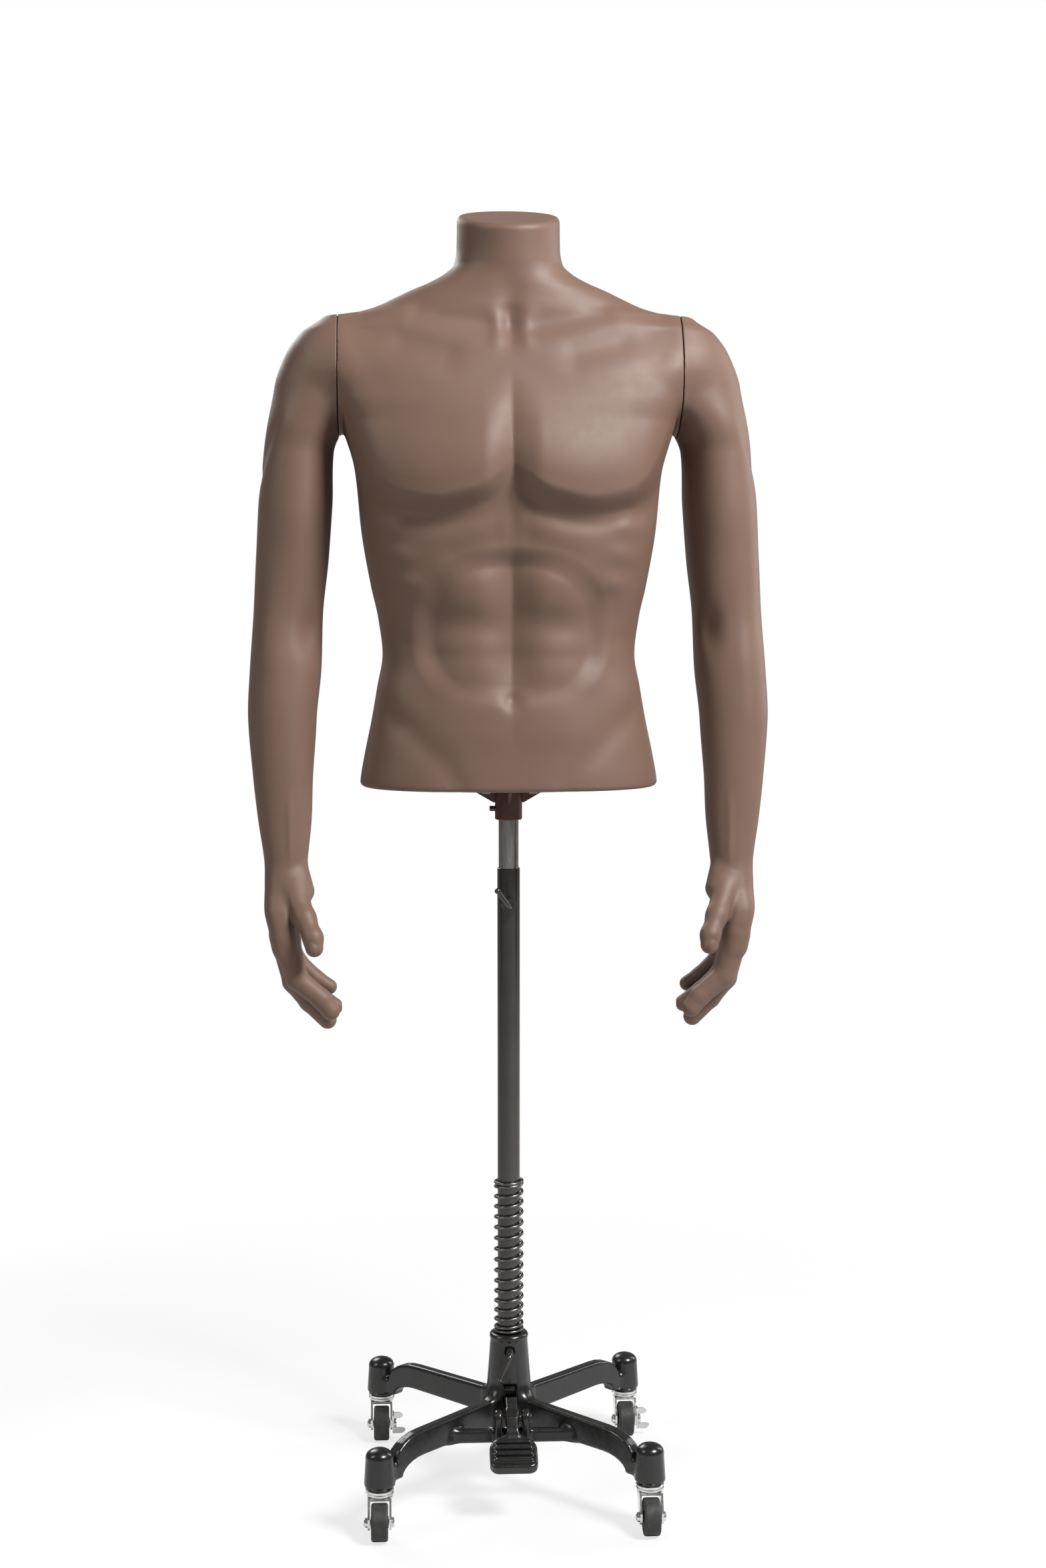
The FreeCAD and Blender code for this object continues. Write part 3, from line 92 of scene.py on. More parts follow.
def meet(first, second, radius):
    """Where both forms are, with the edge between them rounded."""
    rounded = np.hypot(np.maximum(radius + first, 0), np.maximum(radius + second, 0))
    return np.minimum(-radius, np.maximum(first, second)) + rounded


def from_line(x, z, points):
    """Distance from a line through the points, in a plane."""
    nearest = None
    for (ax, az), (bx, bz) in zip(points[:-1], points[1:]):
        along_x, along_z = bx - ax, bz - az
        share = ((x - ax) * along_x + (z - az) * along_z) / (along_x ** 2 + along_z ** 2)
        share = np.clip(share, 0, 1)
        gap = np.hypot(x - ax - share * along_x, z - az - share * along_z)
        nearest = gap if nearest is None else np.minimum(nearest, gap)
    return nearest


def bone(x, y, z, start, end, start_radius, end_radius):
    """A tapering rod with round ends."""
    axis = np.subtract(end, start).astype(float)
    length = np.linalg.norm(axis)
    axis /= length
    away = [x - start[0], y - start[1], z - start[2]]
    along = away[0] * axis[0] + away[1] * axis[1] + away[2] * axis[2]
    squared = away[0] ** 2 + away[1] ** 2 + away[2] ** 2
    across = np.sqrt(np.maximum(squared - along ** 2, 0))
    slope = (start_radius - end_radius) / length
    lift = math.sqrt(1 - slope * slope)
    share = np.clip((along + across * slope / lift) / length, 0, 1)
    gap = np.hypot(across, along - share * length)
    return gap - (start_radius + (end_radius - start_radius) * share)


def smooth_through(knots, values, places):
    """A smooth curve through the knots, with no overshoot between them."""
    knots, values = np.asarray(knots, float), np.asarray(values, float)
    step = np.diff(knots)
    slope = np.diff(values) / step
    tangent = np.zeros(len(knots))
    tangent[0], tangent[-1] = slope[0], slope[-1]
    product = slope[1:] * slope[:-1]
    total = slope[1:] + slope[:-1]
    steady = product > 0
    tangent[1:-1][steady] = 2 * product[steady] / total[steady]
    spot = np.clip(np.searchsorted(knots, places) - 1, 0, len(step) - 1)
    share = np.clip((places - knots[spot]) / step[spot], 0, 1)
    square, cube = share ** 2, share ** 3
    return ((2 * cube - 3 * square + 1) * values[spot]
            + (cube - 2 * square + share) * step[spot] * tangent[spot]
            + (3 * square - 2 * cube) * values[spot + 1]
            + (cube - square) * step[spot] * tangent[spot + 1])


class Outline:
    """A body described by closed sections at a few heights. Each row is a height, a middle in X, a
    half width, the reach to the front and to the back of Y = 0, and how square the section is."""
    shifted = 0

    def __init__(self, rows):
        rows = sorted(rows)
        heights = [row[0] for row in rows]
        self.heights = np.arange(heights[0], heights[-1], 0.5)
        columns = list(zip(*rows))[1:]
        self.curves = [smooth_through(heights, column, self.heights) for column in columns]

    def share(self, x, y, z):
        """How far out a place lies: 0 at the section's middle, 1 on its outline."""
        row = [np.interp(z, self.heights, curve) for curve in self.curves]
        middle, half, front, back, power = row
        centre = (back - front) / 2 * self.shifted
        reach = np.where(y > centre, back - centre, front + centre)
        across, along = np.abs(x - middle) / half, np.abs(y - centre) / reach
        return (across ** power + along ** power) ** (1 / power)

    def field(self, x, y, z):
        """Near the surface, the distance from it."""
        step = 0.5
        here = self.share(x, y, z)
        slopes = [self.share(x + step, y, z) - here, self.share(x, y + step, z) - here,
                  self.share(x, y, z + step) - here]
        steep = np.sqrt(slopes[0] ** 2 + slopes[1] ** 2 + slopes[2] ** 2) / step
        return (here - 1) / np.maximum(steep, 1e-4)


class LimbOutline(Outline):
    """Sections whose middle in Y lies halfway between the front and the back."""
    shifted = 1


# ---- meshing ----

def crossings(values, axis):
    """The grid edges along an axis where the field changes sign: where each starts, how far along
    it the change lies, and whether the field rises there."""
    start = [slice(None)] * 3
    stop = [slice(None)] * 3
    start[axis], stop[axis] = slice(None, -1), slice(1, None)
    first, second = values[tuple(start)], values[tuple(stop)]
    cut = (first < 0) != (second < 0)
    spots = np.argwhere(cut)
    low, high = first[cut], second[cut]
    return spots, low / (low - high), low < 0


def skin(values, low, cell):
    """Points and four-sided faces where a sampled field is nought, one point in each cell that
    it crosses."""
    cells = np.array(values.shape) - 1
    totals = np.zeros((3, cells.prod()))
    counts = np.zeros(cells.prod())
    quads = []
    for axis in range(3):
        spots, share, rising = crossings(values, axis)
        places = spots.astype(float)
        places[:, axis] += share
        one, other = np.eye(3, dtype=int)[(axis + 1) % 3], np.eye(3, dtype=int)[(axis + 2) % 3]
        around = []
        for shift in (0 * one, one, one + other, other):
            corner = spots - shift
            inside = ((corner >= 0) & (corner < cells)).all(1)
            flat = np.ravel_multi_index(np.where(inside[:, None], corner, 0).T, cells)
            for k in range(3):
                totals[k] += np.bincount(flat[inside], places[inside, k], cells.prod())
            counts += np.bincount(flat[inside], minlength=cells.prod())
            around.append(np.where(inside, flat, -1))
        quad = np.stack(around, 1)
        whole = (quad >= 0).all(1)
        quads.append(quad[whole & rising])
        quads.append(quad[whole & ~rising][:, ::-1])
    quads = np.concatenate(quads)
    used = np.unique(quads)
    number = np.zeros(cells.prod(), int)
    number[used] = np.arange(len(used))
    points = (totals[:, used] / counts[used]).T
    return points * cell + low, number[quads]


def sampled(field, low, high, cell, layers=24):
    """The field on a grid, worked out a few layers at a time."""
    axes = [np.arange(a, b + cell, cell) for a, b in zip(low, high)]
    parts = []
    for k in range(0, len(axes[2]), layers):
        parts.append(field(*np.meshgrid(axes[0], axes[1], axes[2][k:k + layers], indexing="ij")))
    return np.concatenate(parts, 2)


def slope_of(field, points, here):
    """Which way, and how fast, the field grows at the points, given its values there."""
    step = 0.2
    slopes = []
    for axis in range(3):
        moved = points.copy()
        moved[:, axis] += step
        slopes.append((field(*moved.T) - here) / step)
    return np.stack(slopes, 1)


def settle(field, points, longest):
    """The points, moved straight towards the surface, by no more than the longest step."""
    here = field(*points.T)
    slopes = slope_of(field, points, here)
    move = -here[:, None] * slopes / np.maximum((slopes ** 2).sum(1), 0.05)[:, None]
    size = np.linalg.norm(move, axis=1)
    return points + move * np.minimum(1, longest / np.maximum(size, 1e-9))[:, None]


def evened(points, quads):
    """Each point halfway to the middle of its neighbours, so that the faces even out."""
    ends = np.concatenate([quads[:, [k, (k + 1) % 4]] for k in range(4)])
    ends = np.concatenate([ends, ends[:, ::-1]])
    counts = np.bincount(ends[:, 0], minlength=len(points))
    middle = np.stack([np.bincount(ends[:, 0], points[ends[:, 1], k], len(points))
                       for k in range(3)], 1)
    return (points + middle / counts[:, None]) / 2


def split(points, quads):
    """Each face as four."""
    ends = np.sort(np.stack([quads, np.roll(quads, -1, 1)], 2).reshape(-1, 2), 1)
    edges, which = np.unique(ends, axis=0, return_inverse=True)
    middles = which.reshape(-1, 4) + len(points)
    centres = np.arange(len(quads)) + len(points) + len(edges)
    added = [points, points[edges].mean(1), points[quads].mean(1)]
    faces = [np.stack([quads[:, k], middles[:, k], centres, middles[:, k - 1]], 1)
             for k in range(4)]
    return np.concatenate(added), np.concatenate(faces)


def meshed(field, low, high, cell, halvings=0, rounds=2):
    """Points and faces of a field's surface, with each face split into four per halving."""
    values = sampled(field, low, high, cell)
    points, quads = skin(values, np.array(low, float), cell)
    for _ in range(rounds):
        points = settle(field, evened(points, quads), cell / 2)
    for _ in range(halvings):
        points, quads = split(points, quads)
        cell /= 2
        points = settle(field, evened(points, quads), cell / 2)
    return settle(field, points, cell / 2), quads


def new_object(name, points, faces):
    """An object from points in millimetres."""
    mesh = bpy.data.meshes.new(name)
    mesh.from_pydata((np.asarray(points) * MM).tolist(), [], np.asarray(faces).tolist())
    mesh.polygons.foreach_set("use_smooth", [True] * len(mesh.polygons))
    mesh.update()
    piece = bpy.data.objects.new(name, mesh)
    bpy.context.scene.collection.objects.link(piece)
    return piece


# ---- the mannequin ----

torso_low, torso_high = box_mm("torso_shell")
HEM, NECK_TOP = torso_low[2], torso_high[2]
# The X of the torso's shoulder face and of the arm's, which faces it.
SEAM, ARM_SEAM = torso_high[0], box_mm("left_arm_shell")[0][0]
_, SHOULDER_Y, SHOULDER_Z = sum(box_mm("left_arm_plate")) / 2
# The shoulder faces' rounded rim, and the round recess that a shoulder plate sits in.
FACE_ROUNDING = 1.1
RECESS_RADIUS, RECESS_DEPTH, RECESS_CORNERS = 32.4, 2.9, 96
# The neck's flat cap: its tilt to the front, and its rear end in Y and Z.
CAP_TILT = math.radians(15)
CAP_BACK = (46, NECK_TOP)
# Heights along the arm: its top, where the hand begins, and where the fingers leave the palm.
ARM_TOP, WRIST, PALM_END = 1299, 755, 606

# Height, middle in X, half width, front, back, squareness.
TORSO = Outline([
    (HEM - 10, 0, 164, 102, 112, 2.5), (HEM + 5, 0, 163, 102, 112, 2.5),
    (827, 0, 158, 101, 106, 2.45), (863, 0, 150.5, 99, 98, 2.4), (900, 0, 144, 97, 91, 2.35),
    (936, 0, 138, 95, 86, 2.35), (975, 0, 142.5, 97, 87, 2.35), (1009, 0, 150, 101, 92, 2.4),
    (1067, 0, 160, 107, 102, 2.45), (1135, 0, 167, 112, 109, 2.5), (1184, 0, 182, 107, 111, 2.5),
    (1212, 0, 194, 100, 108, 2.8), (1240, 0, 202, 89, 101, 3.0), (1284, 0, 198, 66, 80, 2.8),
    (1299, 0, 177, 61.5, 74, 2.4), (1309, 0, 145, 60, 70, 2.2), (1318, 0, 125, 58.5, 68, 2.15),
    (1327, 0, 106, 58, 66, 2.1), (1335, 0, 87, 58, 64, 2.05), (1345, 0, 69, 58.5, 61.5, 2),
    (1355, 0, 59, 60, 58, 2), (1370, 0, 56, 62, 56, 2), (1405, 0, 55.5, 67, 50, 2),
    (1440, 0, 55.5, 72, 46, 2)])
ARM = LimbOutline([
    (1310, 181, 22, 34, 42, 2.2), (1296, 181, 24, 36, 44, 2.2), (1282, 183, 41, 49, 57, 2.2),
    (1258, 185, 56, 56, 64, 2.2), (1224, 188, 65, 58, 65, 2.2), (1184, 218, 43, 55, 63, 2.2),
    (1155, 227.5, 38, 50, 58, 2.2), (1096, 232, 40.5, 49, 53, 2.2),
    (1038, 235.8, 39.8, 45, 49, 2.2), (980, 240.3, 37.8, 43, 45, 2.2),
    (921, 243.2, 38.8, 50, 36, 2.2), (863, 247, 37, 55, 26, 2.2), (804, 246.5, 32.5, 56, 13, 2.2),
    (759, 244.8, 29.2, 56, 4, 2.2), (715, 243.8, 23.7, 57, -3, 2.2), (685, 246, 21, 64, 0, 2.4),
    (660, 248.5, 18.5, 76, 3, 2.9), (640, 245.5, 17, 79, 3, 3.3), (620, 243.5, 15.5, 79, 3, 3.4),
    (590, 240, 13.5, 79, 3, 3.4)])


def pecs(x, z):
    """The chest muscles: a firm lower edge that fades upwards."""
    edge_x = [0, 8, 25, 42, 82, 125, 142, 156, 170, 183, 200]
    edge_z = [1124, 1119, 1108, 1101, 1093, 1100, 1110, 1126, 1152, 1190, 1240]
    places = np.arange(0, edge_x[-1] + 1.0)
    edge = smooth_through(edge_x, edge_z, places)
    lean = np.gradient(edge)
    above = z - np.interp(x, places, edge)
    over = above / np.sqrt(1 + np.interp(x, places, lean) ** 2)
    mass = ramp(-10, 15, over) * (1 - ramp(28, 130, above))
    crease = 4.0 * bell(over + 15, 12)
    return (15 * mass - crease) * ramp(-14, 32, x) * (1 - ramp(140, 200, x))


def abdomen(x, z):
    """The oval under the rib arch, its bellies and the creases between them."""
    half_width, half_height, middle_z, squareness, depth = 97, 82, 962, 2.4, 85
    sideways, upwards = x / half_width, np.abs(z - middle_z) / half_height
    oval = (sideways ** squareness + upwards ** squareness) ** (1 / squareness)
    within = (1 - oval) * depth
    sunk = -10 * ramp(-10, 15, within) * ramp(878, 940, z)
    upper = 10.5 * mound(x, z, (46, 1004), (36, 29), 2.8)
    middle = 8.8 * mound(x, z, (45, 936), (37, 29), 2.8)
    lower = 2.4 * mound(x, z, (38, 866), (40, 26), 3)
    return sunk + upper + middle + lower


def flanks(x, z):
    """Rib ends at the side, the soft waist and the groin lines."""
    rib_ends = (124, 1074), (119, 1043), (108, 1012)
    ribs = sum(mound(x, z, middle, (17, 12)) for middle in rib_ends)
    groin = from_line(x, z, [(150, 884), (113, 860), (90, 836), (74, 822), (60, 800), (56, 780)])
    waist = mound(x, z, (126, 890), (26, 30))
    arch = -2.4 * bell(from_line(x, z, [(20, 1058), (60, 1040), (98, 1000), (112, 955)]), 14)
    return 3.2 * ribs + arch - 2.6 * bell(groin, 15) * ramp(150, 125, x) + 3.0 * waist


def collar_bones(x, z):
    """Collar bones, the hollows above and below them, the notch and the two neck tendons."""
    bones = 1.6 * bell(from_line(x, z, [(20, 1268), (60, 1274), (110, 1281)]), 14)
    above = -3.0 * bell(from_line(x, z, [(26, 1284), (66, 1291), (96, 1300)]), 13)
    below = -3.0 * bell(from_line(x, z, [(70, 1252), (112, 1266)]), 17)
    notch = -7.5 * mound(x, z, (0, 1287), (10, 17))
    tendons = 1.4 * bell(from_line(x, z, [(15, 1272), (16, 1288), (19, 1300)]), 9)
    tendons = tendons * ramp(1318, 1290, z)
    throat = -2.0 * bell(x, 14) * ramp(1290, 1305, z) * ramp(1352, 1320, z)
    return bones + above + below + notch + tendons + throat


def back_relief(x, z):
    """Spine, the long muscles beside it, shoulder blades and the edge of the wide back muscle."""
    spine = -(4.0 + 2.5 * bell(z - 930, 80)) * bell(x, 11)
    spine = spine * ramp(805, 850, z) * ramp(1330, 1250, z)
    long_muscles = 4.2 * bell(x - 33, 19) * ramp(800, 870, z) * ramp(1120, 1010, z)
    blade = 4.2 * mound(x, z, (106, 1188), (44, 66), 3.2)
    blade_edge = -2.4 * bell(from_line(x, z, [(57, 1250), (60, 1195), (74, 1135), (104, 1108)]), 14)
    ridge = 2.2 * bell(from_line(x, z, [(66, 1236), (115, 1258), (150, 1272)]), 15)
    under_ridge = -1.6 * bell(from_line(x, z, [(78, 1218), (120, 1236), (150, 1250)]), 14)
    wide = -2.2 * bell(from_line(x, z, [(38, 905), (70, 960), (110, 1040), (150, 1095)]), 12)
    hollow = -2.0 * mound(x, z, (70, 850), (26, 26))
    return spine + long_muscles + blade + blade_edge + ridge + under_ridge + wide + hollow


def torso_relief(x, y, z):
    """How far the surface stands out from the torso's plain outline."""
    across = np.abs(x)
    front = ramp(-12, -48, y)
    groove = 5.0 * bell(across, 24) + 0.9 * bell(across, 7)
    depth = 0.5 * ramp(1250, 1180, z) + 0.65 * ramp(1165, 1100, z)
    breast_bone = -groove * depth * ramp(880, 906, z)
    navel = -5.5 * mound(across, z, (0, 888), (9, 9))
    relief = (pecs(across, z) + abdomen(across, z) + flanks(across, z)
              + collar_bones(across, z) + breast_bone + navel)
    back = ramp(12, 45, y)
    return front * relief + back * back_relief(across, z)


def arm_relief(x, y, z):
    """Muscles of the arm, seen from the front in X and Z, from the side in Y and Z."""
    front, back = ramp(-4, -30, y), ramp(4, 30, y)
    outer = ramp(238, 255, x)
    biceps = 3.2 * front * mound(x, z, (229, 1092), (22, 62))
    triceps = 3.6 * back * mound(x, z, (236, 1100), (22, 66))
    furrow = -1.6 * bell(y + 4, 9) * mound(x, z, (270, 1080), (30, 60)) * outer
    deltoid_edge = from_line(y, z, [(-44, 1190), (-8, 1128), (6, 1124), (44, 1182)])
    deltoid = -2.0 * outer * bell(deltoid_edge, 10)
    pit = -5.5 * front * mound(x, z, (219, 962), (11, 24))
    radial = 2.6 * front * mound(x, z, (256, 935), (14, 62))
    elbow = 3.2 * back * mound(x, z, (243, 984), (12, 15))
    beside_elbow = -1.8 * back * mound(x, z, (226, 984), (7, 20))
    ulna = 2.4 * mound(y, z, (-16, 716), (8, 9)) * outer
    tendons = 1.2 * front * bell(x - 238, 4) * ramp(700, 730, z) * ramp(800, 760, z)
    return (biceps + triceps + furrow + deltoid + pit + radial + (elbow + beside_elbow)
            + ulna + tendons)


def chain(x, y, z, points, reach=3):
    """A finger: tapering rods from joint to joint, softened where they meet."""
    whole = None
    for (start, start_radius), (end, end_radius) in zip(points[:-1], points[1:]):
        rod = bone(x, y, z, start, end, start_radius, end_radius)
        whole = rod if whole is None else join(whole, rod, reach)
    return whole


# Index, middle, ring and little finger: each knuckle's place and the radius there.
FINGERS = (
    [((243.5, -65, 632), 15), ((231.5, -67, 588.5), 12),
     ((205, -68, 566), 11), ((195.6, -69, 553.5), 10.2)],
    [((248, -46, 632), 13.5), ((236, -47, 582), 11.8),
     ((219, -47, 560), 10.8), ((199.5, -47, 539.5), 9.8)],
    [((248, -27, 632), 13), ((234, -27, 584), 11.2),
     ((212, -27, 564), 10.2), ((192.5, -27, 550.5), 9.3)],
    [((249, -9, 632), 11), ((233, -8, 597), 10.2),
     ((213, -8, 578), 9.3), ((198.5, -8, 569), 8.4)])
THUMB = [((238, -48, 690), 15), ((222, -78, 656), 11.5),
         ((213, -92, 637), 10.2), ((211.5, -96, 626.5), 9.6)]
THUMB_BALL = [((234, -34, 722), 10), ((226, -50, 682), 13.5)]
NAIL, NAIL_HALF = (214, 625), (6.2, 9.5)


def fingers(x, y, z):
    whole = chain(x, y, z, FINGERS[0])
    for points in FINGERS[1:]:
        whole = np.minimum(whole, chain(x, y, z, points))
    return whole


def thumb(x, y, z):
    """The thumb, its ball, and the groove round its nail."""
    rod = chain(x, y, z, THUMB, 6)
    ball = chain(x, y, z, THUMB_BALL)
    plate = np.hypot((x - NAIL[0]) / NAIL_HALF[0], (z - NAIL[1]) / NAIL_HALF[1])
    groove = 0.8 * bell(plate - 1, 0.2) * ramp(-98, -102, y) * ramp(616, 622, z)
    return join(rod, ball, 9) + groove


def arm_field(x, y, z):
    """The left arm down to the wrist, without its fingers."""
    arm = ARM.field(x, y, z) - arm_relief(x, y, z)
    return meet(arm, z - ARM_TOP, 8)


def body(x, y, z):
    """Torso and left arm together, before they are parted at the seam."""
    torso = TORSO.field(x, y, z) - torso_relief(x, y, z)
    across, up = math.sin(CAP_TILT), math.cos(CAP_TILT)
    cap = (z - CAP_BACK[1]) * up - (y - CAP_BACK[0]) * across
    torso = meet(meet(torso, cap, 6), HEM - z, 5)
    reach = 6 + 30 * bell(z - 1245, 36)
    return join(torso, arm_field(np.abs(x), y, z), reach)


def arm_and_hand(x, y, z):
    """The body, with the left hand's fingers and thumb added below the wrist."""
    whole = body(x, y, z)
    if z.min() < WRIST:
        palm = meet(whole, PALM_END - z, 12)
        hand = join(palm, fingers(x, y, z), 4)
        hand = join(hand, thumb(x, y, z), 4.5)
        return np.where(z < WRIST, hand, whole)
    return whole


def face_loop(bm, plane, field, side):
    """Cuts a mesh off at a shoulder face, rounds the face's rim and returns the rim's edges."""
    third = 0.33 * FACE_ROUNDING
    for back, drop in ((FACE_ROUNDING, 0.0), (third, third), (0.0, FACE_ROUNDING)):
        x = (plane - side * back) * MM
        everything = bm.verts[:] + bm.edges[:] + bm.faces[:]
        bmesh.ops.bisect_plane(bm, geom=everything, plane_co=(x, 0, 0), plane_no=(side, 0, 0),
                               dist=1e-7, clear_outer=back == 0.0)
        if drop:
            ring = [v for v in bm.verts if abs(v.co.x - x) < 1e-7]
            points = np.array([v.co for v in ring]) / MM
            slopes = slope_of(field, points, field(*points.T))
            slopes[:, 0] = 0
            slopes /= np.maximum(np.linalg.norm(slopes, axis=1), 1e-6)[:, None]
            for vertex, slope in zip(ring, slopes):
                vertex.co -= Vector(slope) * drop * MM
    return [e for e in bm.edges if e.is_boundary
            and all(abs(v.co.x - plane * MM) < 1e-6 for v in e.verts)]


def close_face(bm, rim, plane, side):
    """Fills a shoulder face round the round recess that its plate sits in."""
    rings = []
    for inward in (0.0, RECESS_DEPTH):
        ring = []
        for k in range(RECESS_CORNERS):
            angle = 2 * math.pi * k / RECESS_CORNERS
            y = SHOULDER_Y + RECESS_RADIUS * math.cos(angle)
            z = SHOULDER_Z + RECESS_RADIUS * math.sin(angle)
            ring.append(bm.verts.new(Vector((plane - side * inward, y, z)) * MM))
        rings.append(ring)
    outer = [bm.edges.new((rings[0][k - 1], rings[0][k])) for k in range(RECESS_CORNERS)]
    filled = bmesh.ops.triangle_fill(bm, edges=rim + outer, use_beauty=True, use_dissolve=False,
                                     normal=(side, 0, 0))
    flat = [f for f in filled["geom"] if isinstance(f, bmesh.types.BMFace)]
    for k in range(RECESS_CORNERS):
        flat.append(bm.faces.new((rings[0][k - 1], rings[0][k], rings[1][k], rings[1][k - 1])))
    flat.append(bm.faces.new(rings[1]))
    for face in flat:
        face.smooth = False
    for edge in rim:
        edge.smooth = False


def reshape(piece, work):
    """Lets the work change a piece's mesh, and turns its faces outwards."""
    bm = bmesh.new()
    bm.from_mesh(piece.data)
    work(bm)
    bmesh.ops.recalc_face_normals(bm, faces=bm.faces[:])
    bm.to_mesh(piece.data)
    bm.free()
    piece.data.update()


def make_torso():
    cell = 4
    low, high = (-SEAM - 6, -135, HEM - 8), (SEAM + 6, 128, NECK_TOP + 12)
    points, quads = meshed(body, low, high, cell, 1)
    piece = new_object("torso", points, quads)

    def cut(bm):
        for side in (1, -1):
            rim = face_loop(bm, side * SEAM, body, side)
            close_face(bm, rim, side * SEAM, side)
    reshape(piece, cut)
    return piece


def make_arm():
    cell = 1.7
    low, high = (ARM_SEAM - 8, -118, 515), (298, 80, 1312)
    points, quads = meshed(arm_and_hand, low, high, cell)
    piece = new_object("left_arm", points, quads)

    def cut(bm):
        rim = face_loop(bm, ARM_SEAM, arm_and_hand, -1)
        close_face(bm, rim, ARM_SEAM, -1)
    reshape(piece, cut)
    return piece


def mirrored(piece, name):
    """The same piece for the other side."""
    mesh = piece.data.copy()
    mesh.transform(Matrix.Scale(-1, 4, Vector((1, 0, 0))))
    mesh.flip_normals()
    other = bpy.data.objects.new(name, mesh)
    bpy.context.scene.collection.objects.link(other)
    return other


# ---- the stand ----

casting_low, casting_high = box_mm("base_casting")
BOSS_LOW, HUB_TOP = casting_low[2], casting_high[2]
# A caster's distance from the pole in X and in Y, and along its leg.
CASTER = 145
REACH = CASTER * math.sqrt(2)
# Heights of a level leg's underside and ridge, of the ridge where it meets the boss, and of the
# boss's own edge.
UNDER, RIDGE, NECK, BOSS_TOP = 72, 102, 74, 86
# How far before the caster the leg starts to bend, and where its underside and ridge stop.
BEND, UNDER_END, RIDGE_END = 61, 28, 18
# Bosses, hub, cross bar, pedal lugs, and the holes for bush, pole, pedal nose and locking screw.
BOSS_RADIUS, BOSS_TAPER = 16.75, 2
DOME_RADIUS, DOME_HEIGHT = BOSS_RADIUS - BOSS_TAPER, 9
STEM_HOLE, STEM_HOLE_DEPTH = 5.4, 24
HUB_FOOT, HUB_WAIST, HUB_RIM, WAIST_HEIGHT = 27, 25, 20.4, 108
BAR_TOP, BAR_HALF, BAR_REACH = 86, 4.5, 66
LUG_MIDDLE, LUG_HALF, LUG_RADIUS = 15, 4, 9
BUSH_TOP, BUSH_RADIUS, THROAT_RADIUS = 146, 14.6, 13.0
SLOT_HALF, SLOT_MIDDLE, SLOT_HALF_HEIGHT = 6.6, 106, 12.2
SCREW_HEIGHT, SCREW_RADIUS = 156, 4.1
# The pedal's pin, in Y and Z.
PIVOT = (-72, 98)


def flat_shape(a, b, corners):
    """Distance from a closed outline in a plane, negative inside."""
    nearest, inside = from_line(a, b, corners + corners[:1]), np.zeros(np.shape(a), bool)
    for (ax, bx), (ay, by) in zip(corners, corners[1:] + corners[:1]):
        crossed = (bx > b) != (by > b)
        if bx != by:
            inside ^= crossed & (a < (ay - ax) * (b - bx) / (by - bx) + ax)
    return np.where(inside, -nearest, nearest)


def leg_side():
    """A leg seen from its side: level, then a quarter ellipse down to the boss."""
    turns = [k * math.pi / 12 for k in range(7)]
    start, foot, crest = REACH - BEND, BOSS_LOW + 2, RIDGE - 3
    under = [(start + (BEND - UNDER_END) * math.sin(t), UNDER - (UNDER - foot) * (1 - math.cos(t)))
             for t in turns]
    ridge = [(start + (BEND - RIDGE_END) * math.sin(t), crest - (crest - NECK) * (1 - math.cos(t)))
             for t in reversed(turns)]
    return [(0, UNDER)] + under + [(REACH, foot), (REACH, NECK)] + ridge + [(0, RIDGE)]


def leg_and_boss(x, y, z):
    """All four legs, all four bosses, and the distance from the pole along the nearest leg."""
    x, y = np.abs(x), np.abs(y)
    along, across = (x + y) / math.sqrt(2), np.abs(x - y) / math.sqrt(2)
    width = 8.6 - 2.2 * (z - UNDER) / (RIDGE - UNDER)
    leg = meet(flat_shape(along, z, leg_side()), across - np.clip(width, 6, 8.8), 3.2)
    away = np.hypot(x - CASTER, y - CASTER)
    side = away - (BOSS_RADIUS - BOSS_TAPER * (z - BOSS_LOW) / (BOSS_TOP - BOSS_LOW))
    cone = np.maximum(side, z - BOSS_TOP)
    up = np.maximum(z - BOSS_TOP, -6)
    first = np.hypot(away / DOME_RADIUS, up / DOME_HEIGHT)
    second = np.hypot(away / DOME_RADIUS ** 2, up / DOME_HEIGHT ** 2)
    dome = first * (first - 1) / np.maximum(second, 1e-6)
    boss = meet(join(cone, dome, 1.2), BOSS_LOW - z, 1.5)
    boss = np.maximum(boss, -np.maximum(away - STEM_HOLE, z - BOSS_LOW - STEM_HOLE_DEPTH))
    return leg, boss, along


